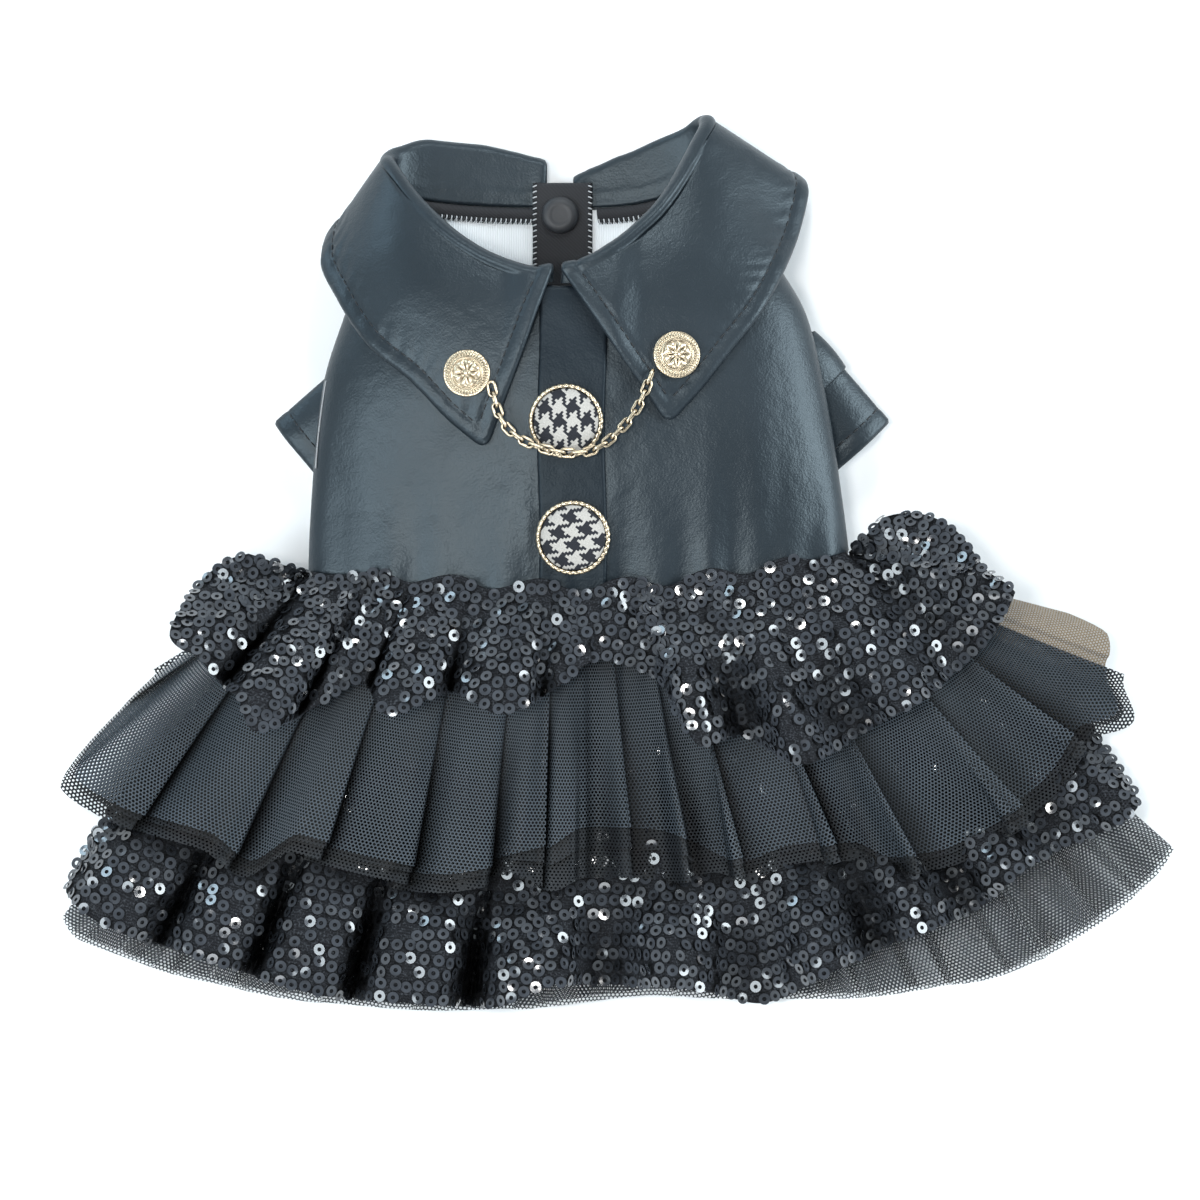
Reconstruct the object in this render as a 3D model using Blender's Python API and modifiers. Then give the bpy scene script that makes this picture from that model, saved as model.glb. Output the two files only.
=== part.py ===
"""Dog dress with a leather bodice, a pointed collar, a chain and four skirt ruffles.

The dress lies on its belly side with the decorated back up. +Y runs from the hem to the neck,
+X is the dress's right in a view from above, and +Z is up. All sizes are in metres.
"""
import math

import bmesh
import bpy
from mathutils import Matrix, Vector

# Bodice
CHEST_HALF = 0.086
BACK_LENGTH = 0.126
BODY_HEIGHT = 0.040
BODY_ROUNDNESS = 0.85
LEATHER = 0.0012
SEAM_ANGLE = 0.6
GAP = 0.00035

# Centre strips
PLACKET_WIDTH = 0.0215
PLACKET_THICKNESS = 0.0014
STRIP_WIDTH = 0.0192
STRIP_OFFSET = 0.0032
STRIP_THICKNESS = 0.0014

# Collar
STAND_HEIGHT = 0.016
ROLL_RADIUS = 0.0019
COLLAR_THICKNESS = 0.0016
COLLAR_OVERHANG = 0.009

# Sleeves
SLEEVE_WIDTH = 0.040
SLEEVE_HEIGHT = 0.011
SLEEVE_CLEARANCE = 0.0004

# Buttons and snap
CLOTH_BUTTON_WIDTH = 0.0237
CLOTH_BUTTON_HEIGHT = 0.0046
RIM_WIRE = 0.0018
GOLD_BUTTON_WIDTH = 0.0150
GOLD_BUTTON_HEIGHT = 0.0040
SNAP_WIDTH = 0.0120
SNAP_HEIGHT = 0.0024

# Chain
LINK_COUNT = 22
LINK_WIDTH = 0.0034
LINK_WIRE = 0.0009
LINK_BITE = 0.00040

# Skirt
SKIRT_LENGTH = 0.135
SKIRT_COLUMNS = 88
SEAM_START = 0.0007
SEQUIN_NET = 0.0012
TULLE = 0.0010
LAYER_STEP = 0.0028
RIDGE_STEP = 0.0018
FLOOR_CLEARANCE = 0.0003

# Bodice sections, a row for each: place along the back as a share of BACK_LENGTH, half widths as shares
# of CHEST_HALF, and the heights of crown, side seam and belly as shares of BODY_HEIGHT
# (place, left, right, crown, side, belly)
BODY = (
    (-0.06, 0.975, 1.035, 0.86, 0.48, 0.030),
    (0.00, 0.975, 1.030, 0.88, 0.49, 0.030),
    (0.28, 0.955, 0.980, 0.95, 0.50, 0.030),
    (0.48, 0.920, 0.930, 0.98, 0.50, 0.035),
    (0.65, 0.845, 0.870, 0.96, 0.49, 0.060),
    (0.80, 0.760, 0.745, 0.90, 0.47, 0.100),
    (0.94, 0.700, 0.600, 0.80, 0.43, 0.120),
    (1.06, 0.650, 0.530, 0.72, 0.40, 0.120),
)

# Neck and waist edges as shares of BACK_LENGTH, from the middle of the back to each side and the belly
NECK_BACK = 0.722
NECK_BELLY = 0.937
NECK_LEFT = 0.968
NECK_RIGHT = 1.063
WAIST_MIDDLE = -0.060
WAIST_LEFT = 0.000
WAIST_RIGHT = 0.050

# Collar sections, a row for each: angle round the neck in degrees from the side seam, the roll's place
# outward and forward of the neck edge as shares of STAND_HEIGHT, the outer edge as shares of CHEST_HALF,
# BACK_LENGTH and BODY_HEIGHT, and how far the fall follows the bodice (1) or hangs free (0)
# (angle, roll_out, roll_forward, edge_x, edge_y, edge_z, follow)
COLLAR_LEFT = (
    (85.0, 0.00, 0.39, 0.330, 0.340, 0.00, 1.0),
    (77.0, -0.09, 0.25, 0.455, 0.395, 0.00, 1.0),
    (69.0, -0.09, 0.27, 0.600, 0.484, 0.00, 1.0),
    (58.5, -0.11, 0.31, 0.755, 0.573, 0.00, 1.0),
    (42.0, -0.12, 0.41, 0.868, 0.688, 0.42, 0.85),
    (24.5, -0.12, 0.49, 0.940, 0.800, 0.36, 0.4),
    (0.0, 0.00, 0.73, 0.915, 0.880, 0.24, 0.0),
    (-25.0, 0.05, 1.04, 0.807, 0.908, 0.09, 0.0),
    (-42.0, 0.05, 1.26, 0.644, 0.844, 0.035, 0.0),
    (-60.0, 0.05, 1.25, 0.412, 0.820, 0.028, 0.0),
    (-73.0, 0.03, 1.12, 0.237, 0.805, 0.028, 0.0),
    (-82.0, 0.00, 0.96, 0.109, 0.790, 0.028, 0.0),
)
COLLAR_RIGHT = (
    (93.0, 0.02, 0.41, 0.365, 0.396, 0.00, 1.0),
    (86.0, -0.10, 0.50, 0.472, 0.471, 0.00, 1.0),
    (78.0, -0.18, 0.66, 0.588, 0.559, 0.00, 1.0),
    (66.0, -0.24, 0.88, 0.706, 0.662, 0.00, 1.0),
    (52.0, -0.27, 1.00, 0.785, 0.762, 0.40, 0.9),
    (34.0, -0.20, 0.93, 0.845, 0.866, 0.36, 0.5),
    (10.0, -0.12, 0.80, 0.882, 0.980, 0.26, 0.1),
    (-25.0, -0.24, 0.94, 0.835, 1.020, 0.09, 0.0),
    (-52.0, -0.22, 1.13, 0.518, 0.876, 0.035, 0.0),
    (-70.0, -0.14, 1.02, 0.309, 0.829, 0.028, 0.0),
    (-82.0, -0.09, 0.80, 0.123, 0.781, 0.028, 0.0),
    (-89.0, -0.04, 0.62, 0.018, 0.765, 0.028, 0.0),
)

# Sleeves, a row for each: root and end centres as shares of CHEST_HALF, BACK_LENGTH and BODY_HEIGHT
# (name, root_x, root_y, root_z, end_x, end_y, end_z)
SLEEVES = (
    ("left", -0.593, 0.488, 0.35, -0.965, 0.271, 0.16),
    ("right", 0.690, 0.540, 0.35, 1.014, 0.290, 0.16),
)

# Buttons on the bodice, as shares of CHEST_HALF and BACK_LENGTH
CLOTH_BUTTONS = (("upper", -0.022, 0.381), ("lower", 0.004, 0.089))
GOLD_BUTTONS = (("left", -0.391, 0.510), ("right", 0.387, 0.554))
SNAP_PLACE = 0.914

# Chain route: how far along from the left gold button to the right one, how far below the line between
# them as a share of the distance, and the height over the bodice in metres
# (along, drop, height)
CHAIN_ROUTE = (
    (0.115, 0.085, 0.0050),
    (0.165, 0.245, 0.0055),
    (0.270, 0.350, 0.0066),
    (0.440, 0.420, 0.0082),
    (0.600, 0.425, 0.0084),
    (0.720, 0.350, 0.0070),
    (0.815, 0.240, 0.0056),
    (0.880, 0.095, 0.0050),
)

# Skirt rays, a row for each: place across the skirt from left to right, the waist's angle round the
# bodice in degrees, and the ray's direction in degrees from straight down the back
# (place, waist_angle, direction)
RAYS = (
    (0.00, 180.0, -80.0),
    (0.06, 178.0, -58.0),
    (0.12, 174.0, -42.0),
    (0.20, 146.0, -30.0),
    (0.35, 115.0, -15.0),
    (0.50, 88.0, 0.0),
    (0.65, 63.0, 16.0),
    (0.80, 33.0, 32.0),
    (0.88, 6.0, 50.0),
    (0.94, 2.0, 74.0),
    (1.00, 0.0, 104.0),
)

# Ruffle hems, a row for each lobe or valley: place across the skirt and length as a share of SKIRT_LENGTH
HEM_SEQUIN_UPPER = (
    (0.00, 0.18), (0.012, 0.31), (0.05, 0.37), (0.08, 0.33), (0.16, 0.34), (0.193, 0.41), (0.23, 0.33),
    (0.27, 0.24), (0.313, 0.31), (0.366, 0.24), (0.42, 0.29), (0.471, 0.23), (0.522, 0.155), (0.58, 0.20),
    (0.61, 0.37), (0.646, 0.355), (0.70, 0.46), (0.76, 0.42), (0.813, 0.40), (0.863, 0.37), (0.92, 0.38),
    (0.945, 0.38), (0.96, 0.31), (0.98, 0.22), (1.00, 0.155),
)
HEM_TULLE_UPPER = (
    (0.062, 0.39), (0.09, 0.75), (0.123, 0.735), (0.20, 0.71), (0.24, 0.745), (0.27, 0.655), (0.36, 0.66),
    (0.426, 0.635), (0.47, 0.56), (0.503, 0.47), (0.56, 0.48), (0.59, 0.545), (0.621, 0.655), (0.664, 0.63),
    (0.715, 0.65), (0.738, 0.71), (0.786, 0.75), (0.852, 0.73), (0.89, 0.705), (0.908, 0.76), (0.92, 0.69),
    (0.938, 0.65), (0.948, 0.39),
)
HEM_SEQUIN_LOWER = (
    (0.125, 0.74), (0.142, 0.955), (0.20, 0.985), (0.32, 1.00), (0.393, 0.975), (0.44, 0.975), (0.486, 0.915),
    (0.54, 0.925), (0.58, 0.95), (0.618, 1.00), (0.668, 0.955), (0.718, 0.93), (0.774, 0.925), (0.83, 0.875),
    (0.876, 0.91), (0.896, 0.70),
)
HEM_TULLE_LOWER = (
    (0.145, 1.01), (0.165, 1.045), (0.206, 1.045), (0.26, 1.03), (0.358, 1.01), (0.396, 1.00), (0.448, 0.975),
    (0.50, 0.945), (0.54, 0.935), (0.576, 0.955), (0.64, 1.00), (0.69, 1.04), (0.735, 1.06), (0.775, 1.08),
    (0.82, 1.075), (0.862, 1.065), (0.875, 1.05),
)

# Ruffle folds, a row for each ridge: place across the skirt, half width in the same measure, and height
# as a share of the ruffle's fold height
FOLDS_SEQUIN_UPPER = (
    (0.05, 0.040, 0.7), (0.13, 0.036, 0.6), (0.193, 0.036, 1.0), (0.245, 0.020, 0.5), (0.313, 0.044, 0.9),
    (0.42, 0.050, 1.0), (0.48, 0.026, 0.4), (0.56, 0.034, 0.5), (0.612, 0.026, 0.9), (0.70, 0.050, 1.0),
    (0.775, 0.036, 0.6), (0.84, 0.040, 0.8), (0.92, 0.040, 1.0), (0.98, 0.026, 0.6),
)
FOLDS_TULLE_UPPER = (
    (0.09, 0.028, 0.8), (0.14, 0.026, 0.6), (0.20, 0.034, 1.0), (0.255, 0.028, 0.8), (0.32, 0.034, 0.7),
    (0.375, 0.028, 1.0), (0.425, 0.026, 0.8), (0.48, 0.030, 0.7), (0.53, 0.034, 1.0), (0.59, 0.032, 0.8),
    (0.64, 0.026, 0.7), (0.685, 0.028, 0.9), (0.735, 0.026, 0.7), (0.785, 0.030, 0.9), (0.845, 0.034, 0.8),
    (0.91, 0.032, 1.0),
)
FOLDS_SEQUIN_LOWER = (
    (0.16, 0.030, 0.8), (0.215, 0.028, 0.7), (0.27, 0.030, 0.8), (0.325, 0.030, 0.7), (0.38, 0.028, 0.9),
    (0.455, 0.038, 1.0), (0.52, 0.028, 0.8), (0.575, 0.030, 0.9), (0.63, 0.030, 1.0), (0.69, 0.032, 0.8),
    (0.745, 0.028, 0.8), (0.80, 0.030, 0.9), (0.855, 0.030, 0.8),
)
FOLDS_TULLE_LOWER = (
    (0.18, 0.034, 0.9), (0.24, 0.030, 0.7), (0.30, 0.034, 0.9), (0.36, 0.032, 0.7), (0.42, 0.034, 1.0),
    (0.49, 0.038, 0.8), (0.56, 0.036, 0.9), (0.62, 0.032, 0.8), (0.68, 0.034, 1.0), (0.74, 0.032, 0.8),
    (0.80, 0.032, 0.9), (0.85, 0.026, 0.8),
)

# Ruffles from the floor up: the part of the skirt that each spans, its fold height and wall in metres,
# and its rows of cells
# (name, hem, folds, start, end, fold_height, wall, rows)
RUFFLES = (
    ("tulle_ruffle_lower", HEM_TULLE_LOWER, FOLDS_TULLE_LOWER, 0.148, 0.875, 0.0030, TULLE, 2),
    ("sequin_ruffle_lower", HEM_SEQUIN_LOWER, FOLDS_SEQUIN_LOWER, 0.125, 0.898, 0.0050, SEQUIN_NET, 2),
    ("tulle_ruffle_upper", HEM_TULLE_UPPER, FOLDS_TULLE_UPPER, 0.057, 0.943, 0.0100, TULLE, 2),
    ("sequin_ruffle_upper", HEM_SEQUIN_UPPER, FOLDS_SEQUIN_UPPER, 0.0, 1.0, 0.0085, SEQUIN_NET, 3),
)

# The heading of the top ruffle over the bodice: its depth, and its scallops
HEADING_DEPTH = 0.0055
HEADING_SCALLOPS = 9
PUFF_HEIGHT = 0.0040


def clear_scene():
    """Remove every object that the file starts with."""
    for existing in list(bpy.data.objects):
        bpy.data.objects.remove(existing, do_unlink=True)


def new_collection(name):
    """Make a collection under the scene."""
    collection = bpy.data.collections.new(name)
    bpy.context.scene.collection.children.link(collection)
    return collection


def new_material(name, color, roughness, metallic=0.0):
    """Make a plain Principled material."""
    material = bpy.data.materials.new(name)
    material.use_nodes = True
    shader = material.node_tree.nodes["Principled BSDF"]
    shader.inputs["Base Color"].default_value = (*color, 1.0)
    shader.inputs["Roughness"].default_value = roughness
    shader.inputs["Metallic"].default_value = metallic
    return material


def read(table, place, column):
    """Read a table's column at a place along its first column, smoothly and without overshoot."""
    places = [row[0] for row in table]
    values = [row[column] for row in table]
    place = min(max(place, places[0]), places[-1])
    index = 0
    while index < len(places) - 2 and place > places[index + 1]:
        index += 1
    steps = [(values[i + 1] - values[i]) / (places[i + 1] - places[i]) for i in range(len(places) - 1)]

    def slope(i):
        if i == 0:
            return steps[0]
        if i == len(steps):
            return steps[-1]
        if steps[i - 1] * steps[i] <= 0:
            return 0.0
        return 2 * steps[i - 1] * steps[i] / (steps[i - 1] + steps[i])

    span = places[index + 1] - places[index]
    t = (place - places[index]) / span
    start = (1 + 2 * t) * (1 - t) ** 2 * values[index] + t * (1 - t) ** 2 * span * slope(index)
    end = t * t * (3 - 2 * t) * values[index + 1] - t * t * (1 - t) * span * slope(index + 1)
    return start + end


def ease(value):
    """Rise smoothly from 0 to 1."""
    value = min(max(value, 0.0), 1.0)
    return value * value * (3 - 2 * value)


def body_section(y):
    """Half widths and heights of the bodice's wall centre at a place along the back."""
    place = y / BACK_LENGTH
    left = CHEST_HALF * read(BODY, place, 1)
    right = CHEST_HALF * read(BODY, place, 2)
    crown = BODY_HEIGHT * read(BODY, place, 3)
    side = BODY_HEIGHT * read(BODY, place, 4)
    belly = BODY_HEIGHT * read(BODY, place, 5)
    return left, right, crown, side, belly


def body_point(angle, y):
    """A point on the bodice: 0 degrees at the right side seam, 90 on the back, -90 on the belly."""
    left, right, crown, side, belly = body_section(y)
    across = math.cos(math.radians(angle))
    rise = math.sin(math.radians(angle))
    half = right if across >= 0 else left
    reach = side - belly if rise < 0 else crown - side
    height = side + math.copysign(reach * abs(rise) ** BODY_ROUNDNESS, rise)
    return Vector((half * across, y, height))


def back_height(x, y, overhang=0.0):
    """Height of the back over a point in plan, or of a wider shape that lies over it."""
    left, right, crown, side, _ = body_section(y)
    half = (right if x >= 0 else left) + overhang
    share = min(abs(x) / half, 1.0)
    power = BODY_ROUNDNESS / 2 if overhang == 0.0 else 0.5
    return side + (crown - side) * (1 - share * share) ** power


def belly_height(x, y):
    """Height of the belly's wall centre over a point in plan."""
    left, right, _, side, belly = body_section(y)
    share = min(abs(x) / (right if x >= 0 else left), 1.0)
    return side - (side - belly) * (1 - share * share) ** (BODY_ROUNDNESS / 2)


def neck_edge(angle):
    """Place of the neck edge along the back."""
    across = math.cos(math.radians(angle))
    on_back = math.sin(math.radians(angle)) >= 0
    side = NECK_RIGHT if across >= 0 else NECK_LEFT
    middle = NECK_BACK if on_back else NECK_BELLY
    power = 1.9 if on_back else 3.0
    return BACK_LENGTH * (middle + (side - middle) * abs(across) ** power)


def waist_edge(angle):
    """Place of the waist edge along the back."""
    across = math.cos(math.radians(angle))
    side = WAIST_RIGHT if across >= 0 else WAIST_LEFT
    return BACK_LENGTH * (WAIST_MIDDLE + (side - WAIST_MIDDLE) * across * across)


def over_placket(x):
    """Extra height of a piece that passes over the placket."""
    beyond = (abs(x) - PLACKET_WIDTH / 2) / (PLACKET_WIDTH / 2)
    return (2 * GAP + PLACKET_THICKNESS) * (1 - ease(beyond - 0.15))


def finish(obj, collection, material, smooth_angle=40.0):
    """Name the mesh, give it its material and shade it smooth."""
    obj.data.name = obj.name
    obj.data.materials.clear()
    obj.data.materials.append(material)
    obj.data.shade_smooth()
    obj.data.set_sharp_from_angle(angle=math.radians(smooth_angle))
    collection.objects.link(obj)
    return obj


def sheet(name, columns, rows, place, wall, collection, material, closed=False):
    """Make a wall from a grid whose points a function places, with the grid at the wall's centre."""
    grid = bmesh.new()
    bmesh.ops.create_grid(grid, x_segments=columns, y_segments=rows, size=0.5)
    for vertex in grid.verts:
        vertex.co = place(vertex.co.x + 0.5, vertex.co.y + 0.5)
    if closed:
        bmesh.ops.remove_doubles(grid, verts=grid.verts, dist=1e-6)
    mesh = bpy.data.meshes.new(name)
    grid.to_mesh(mesh)
    grid.free()
    obj = bpy.data.objects.new(name, mesh)
    solidify = obj.modifiers.new("Wall", "SOLIDIFY")
    solidify.thickness = wall
    solidify.offset = 0.0
    solidify.use_quality_normals = True
    return finish(obj, collection, material)


def turned(name, profile, sides, location, tilt, collection, material):
    """Make a turned solid from a profile of radius and height, top to bottom down its outer side."""
    mesh = bpy.data.meshes.new(name)
    points = [(radius, 0.0, height) for radius, height in profile]
    mesh.from_pydata(points, [(i, i + 1) for i in range(len(points) - 1)], [])
    obj = bpy.data.objects.new(name, mesh)
    screw = obj.modifiers.new("Turn", "SCREW")
    screw.steps = sides
    screw.render_steps = sides
    screw.use_merge_vertices = True
    screw.merge_threshold = 0.00005
    screw.use_smooth_shade = True
    obj.location = location
    obj.rotation_euler = tilt
    return finish(obj, collection, material)


def back_tilt(x, y, overhang=0.0):
    """Rotation that lays a button on the back at a point in plan."""
    step = 0.002
    slope_x = (back_height(x + step, y, overhang) - back_height(x - step, y, overhang)) / (2 * step)
    slope_y = (back_height(x, y + step, overhang) - back_height(x, y - step, overhang)) / (2 * step)
    normal = Vector((-slope_x, -slope_y, 1.0))
    return normal.to_track_quat("Z", "Y").to_euler(), normal.normalized()


def make_bodice(collection, material):
    """The back and the two belly halves, with a narrow seam between them."""
    halves = (
        ("back_panel", SEAM_ANGLE, 180 - SEAM_ANGLE, 24),
        ("belly_panel_right", -90 + SEAM_ANGLE / 2, -SEAM_ANGLE, 12),
        ("belly_panel_left", -180 + SEAM_ANGLE, -90 - SEAM_ANGLE / 2, 12),
    )
    panels = {}
    for name, start, end, columns in halves:

        def place(u, v, start=start, end=end):
            angle = start + (end - start) * u
            low = waist_edge(angle)
            return body_point(angle, low + (neck_edge(angle) - low) * v)

        panels[name] = sheet(name, columns, 6, place, LEATHER, collection, material)
    return panels


def make_placket(collection, material):
    """The raised strip down the centre of the back."""
    lift = LEATHER / 2 + GAP + PLACKET_THICKNESS / 2
    low = BACK_LENGTH * WAIST_MIDDLE
    high = BACK_LENGTH * NECK_BACK

    def place(u, v):
        x = PLACKET_WIDTH * (u - 0.5)
        y = low + (high - low) * v
        return Vector((x, y, back_height(x, y) + lift))

    return sheet("placket", 4, 8, place, PLACKET_THICKNESS, collection, material)


def make_closing_strip(collection, material):
    """The strip inside the belly that carries the snap, past the neck edge at its top."""
    lift = LEATHER / 2 + 2 * GAP + STRIP_THICKNESS / 2
    low = BACK_LENGTH * 0.02
    high = BACK_LENGTH * NECK_BELLY + 0.42 * STAND_HEIGHT

    def place(u, v):
        x = STRIP_WIDTH * (u - 0.5) - STRIP_OFFSET
        y = low + (high - low) * v
        return Vector((x, y, belly_height(x, y) + lift))

    return sheet("closing_strip", 2, 8, place, STRIP_THICKNESS, collection, material)


def collar_section(row, side):
    """Stand, roll and fall of one collar section, as points from the neck edge to the outer edge."""
    angle, roll_out, roll_forward, edge_x, edge_y, edge_z, follow = row
    around = angle if side > 0 else 180 - angle
    neck = body_point(around, neck_edge(around))
    outward = Vector((side * math.cos(math.radians(angle)), 0.0, math.sin(math.radians(angle))))
    beside = body_point(around + 1, neck_edge(around + 1)) - body_point(around - 1, neck_edge(around - 1))
    crossing = math.sqrt(1 - (beside.y / beside.length) ** 2)
    tip_x = neck.x + side * roll_out * STAND_HEIGHT
    tip_y = neck.y + roll_forward * STAND_HEIGHT
    centre = Vector((tip_x, tip_y - ROLL_RADIUS, neck.z + outward.z * ROLL_RADIUS))
    points = [neck + Vector((0.0, GAP * 2.6 / crossing, 0.0))]
    for step in range(4):
        turn = math.pi * step / 3
        points.append(centre - outward * ROLL_RADIUS * math.cos(turn)
                      + Vector((0.0, ROLL_RADIUS * math.sin(turn), 0.0)))
    start = points[-1]
    edge = Vector((side * CHEST_HALF * edge_x, BACK_LENGTH * edge_y, BODY_HEIGHT * edge_z))
    for step in range(1, 5):
        t = step / 4
        x = start.x + (edge.x - start.x) * t
        y = start.y + (edge.y - start.y) * t
        resting = LEATHER / 2 + COLLAR_THICKNESS / 2 + 2 * GAP
        lying = back_height(x, y, COLLAR_OVERHANG) + resting + over_placket(x)
        hanging = start.z + (edge.z - start.z) * t ** 1.3
        points.append(Vector((x, y, hanging + (lying - hanging) * follow)))
    return points


def make_collar(name, table, side, collection, material):
    """One collar half, lofted through its sections with three steps between each two."""
    count = len(table) - 1
    columns = 16

    def place(u, v):
        spot = u * count
        first = min(int(spot), count - 1)
        row = [table[first][0] + (table[first + 1][0] - table[first][0]) * (spot - first)]
        numbered = [(index, *entry) for index, entry in enumerate(table)]
        for column in range(1, 7):
            row.append(read(numbered, spot, column + 1))
        points = collar_section(row, side)
        return points[round(v * (len(points) - 1))]

    return sheet(name, columns, 8, place, COLLAR_THICKNESS, collection, material)


def make_sleeves(collection, cutters, material, panels):
    """Flat sleeve tubes that pass through armholes cut in the belly halves."""
    for name, root_x, root_y, root_z, end_x, end_y, end_z in SLEEVES:
        root = Vector((CHEST_HALF * root_x, BACK_LENGTH * root_y, BODY_HEIGHT * root_z))
        end = Vector((CHEST_HALF * end_x, BACK_LENGTH * end_y, BODY_HEIGHT * end_z))
        axis = (end - root).normalized()
        across = Vector((axis.y, -axis.x, 0.0)).normalized()
        upward = across.cross(axis)
        if upward.z < 0:
            upward = -upward

        def place(u, v, root=root, end=end, across=across, upward=upward):
            turn = 2 * math.pi * u
            middle = root.lerp(end, v)
            half_width = (SLEEVE_WIDTH - LEATHER) / 2
            half_height = (SLEEVE_HEIGHT - LEATHER) / 2
            return middle + across * half_width * math.cos(turn) + upward * half_height * math.sin(turn)

        sheet("sleeve_" + name, 16, 2, place, LEATHER, collection, material, closed=True)
        bpy.ops.mesh.primitive_cylinder_add(vertices=24, radius=1.0, depth=1.0)
        cutter = bpy.context.object
        cutter.name = "armhole_cutter_" + name
        wide = SLEEVE_WIDTH / 2 + SLEEVE_CLEARANCE
        high = SLEEVE_HEIGHT / 2 + SLEEVE_CLEARANCE
        length = (end - root).length + 4 * SLEEVE_CLEARANCE
        frame = Matrix((across * wide, upward * high, axis * length)).transposed().to_4x4()
        frame.translation = (root + end) / 2
        cutter.data.transform(frame)
        if frame.determinant() < 0:
            cutter.data.flip_normals()
        for owner in list(cutter.users_collection):
            owner.objects.unlink(cutter)
        cutters.objects.link(cutter)
        cutter.hide_render = True
        cutter.display_type = "WIRE"
        cut = panels["belly_panel_" + name].modifiers.new("Armhole", "BOOLEAN")
        cut.operation = "DIFFERENCE"
        cut.object = cutter


def make_cloth_buttons(collection, cloth, gold):
    """Domed cloth buttons on the placket, each in a wire rim."""
    inner = CLOTH_BUTTON_WIDTH / 2 - RIM_WIRE - GAP
    base = LEATHER / 2 + 2 * GAP + PLACKET_THICKNESS
    profile = (
        (0.0, CLOTH_BUTTON_HEIGHT),
        (inner * 0.40, CLOTH_BUTTON_HEIGHT * 0.95),
        (inner * 0.75, CLOTH_BUTTON_HEIGHT * 0.78),
        (inner, CLOTH_BUTTON_HEIGHT * 0.48),
        (inner, 0.0),
        (0.0, 0.0),
    )
    for name, share_x, share_y in CLOTH_BUTTONS:
        x = CHEST_HALF * share_x
        y = BACK_LENGTH * share_y
        tilt, normal = back_tilt(x, y)
        spot = Vector((x, y, back_height(x, y))) + normal * base
        turned("cloth_button_" + name, profile, 20, spot, tilt, collection, cloth)
        bpy.ops.mesh.primitive_torus_add(
            major_segments=20, minor_segments=6,
            major_radius=(CLOTH_BUTTON_WIDTH - RIM_WIRE) / 2, minor_radius=RIM_WIRE / 2,
        )
        rim = bpy.context.object
        rim.name = "button_rim_" + name
        rim.location = spot + normal * RIM_WIRE / 2
        rim.rotation_euler = tilt
        for owner in list(rim.users_collection):
            owner.objects.unlink(rim)
        finish(rim, collection, gold)


def make_gold_buttons(collection, cutters, gold):
    """Domed metal buttons on the collar points, with a raised rosette of six petals."""
    radius = GOLD_BUTTON_WIDTH / 2
    profile = (
        (0.0, GOLD_BUTTON_HEIGHT * 0.78),
        (radius * 0.45, GOLD_BUTTON_HEIGHT * 0.74),
        (radius * 0.72, GOLD_BUTTON_HEIGHT * 0.60),
        (radius * 0.86, GOLD_BUTTON_HEIGHT * 0.66),
        (radius, GOLD_BUTTON_HEIGHT * 0.36),
        (radius * 0.92, 0.0),
        (0.0, 0.0),
    )
    lift = LEATHER / 2 + COLLAR_THICKNESS + 3 * GAP
    petals = 6
    for name, share_x, share_y in GOLD_BUTTONS:
        x = CHEST_HALF * share_x
        y = BACK_LENGTH * share_y
        tilt, normal = back_tilt(x, y, COLLAR_OVERHANG)
        spot = Vector((x, y, back_height(x, y, COLLAR_OVERHANG))) + normal * lift
        button = turned("gold_button_" + name, profile, 16, spot, tilt, collection, gold)
        rosette = bmesh.new()
        for index in range(petals):
            turn = 2 * math.pi * index / petals
            spread = Matrix.Rotation(turn, 4, "Z") @ Matrix.Translation((radius * 0.34, 0.0, 0.0))
            size = Matrix.Diagonal((radius * 0.20, radius * 0.13, GOLD_BUTTON_HEIGHT * 0.26, 1.0))
            lifted = Matrix.Translation((0.0, 0.0, GOLD_BUTTON_HEIGHT * 0.72))
            bmesh.ops.create_uvsphere(
                rosette, u_segments=6, v_segments=4, radius=1.0, matrix=lifted @ spread @ size,
            )
        mesh = bpy.data.meshes.new("rosette_" + name)
        rosette.to_mesh(mesh)
        rosette.free()
        petals_object = bpy.data.objects.new("rosette_" + name, mesh)
        petals_object.location = spot
        petals_object.rotation_euler = tilt
        petals_object.hide_render = True
        petals_object.display_type = "WIRE"
        cutters.objects.link(petals_object)
        join = button.modifiers.new("Rosette", "BOOLEAN")
        join.operation = "UNION"
        join.object = petals_object


def make_snap(collection, material):
    """The snap's domed cap on the closing strip."""
    radius = SNAP_WIDTH / 2
    profile = (
        (0.0, SNAP_HEIGHT),
        (radius * 0.70, SNAP_HEIGHT * 0.92),
        (radius * 0.95, SNAP_HEIGHT * 0.62),
        (radius, 0.0),
        (0.0, 0.0),
    )
    x = -STRIP_OFFSET
    y = BACK_LENGTH * SNAP_PLACE
    lift = LEATHER / 2 + 3 * GAP + STRIP_THICKNESS
    spot = Vector((x, y, belly_height(x, y) + lift))
    turned("snap_cap", profile, 20, spot, (0.0, 0.0, 0.0), collection, material)


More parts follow.
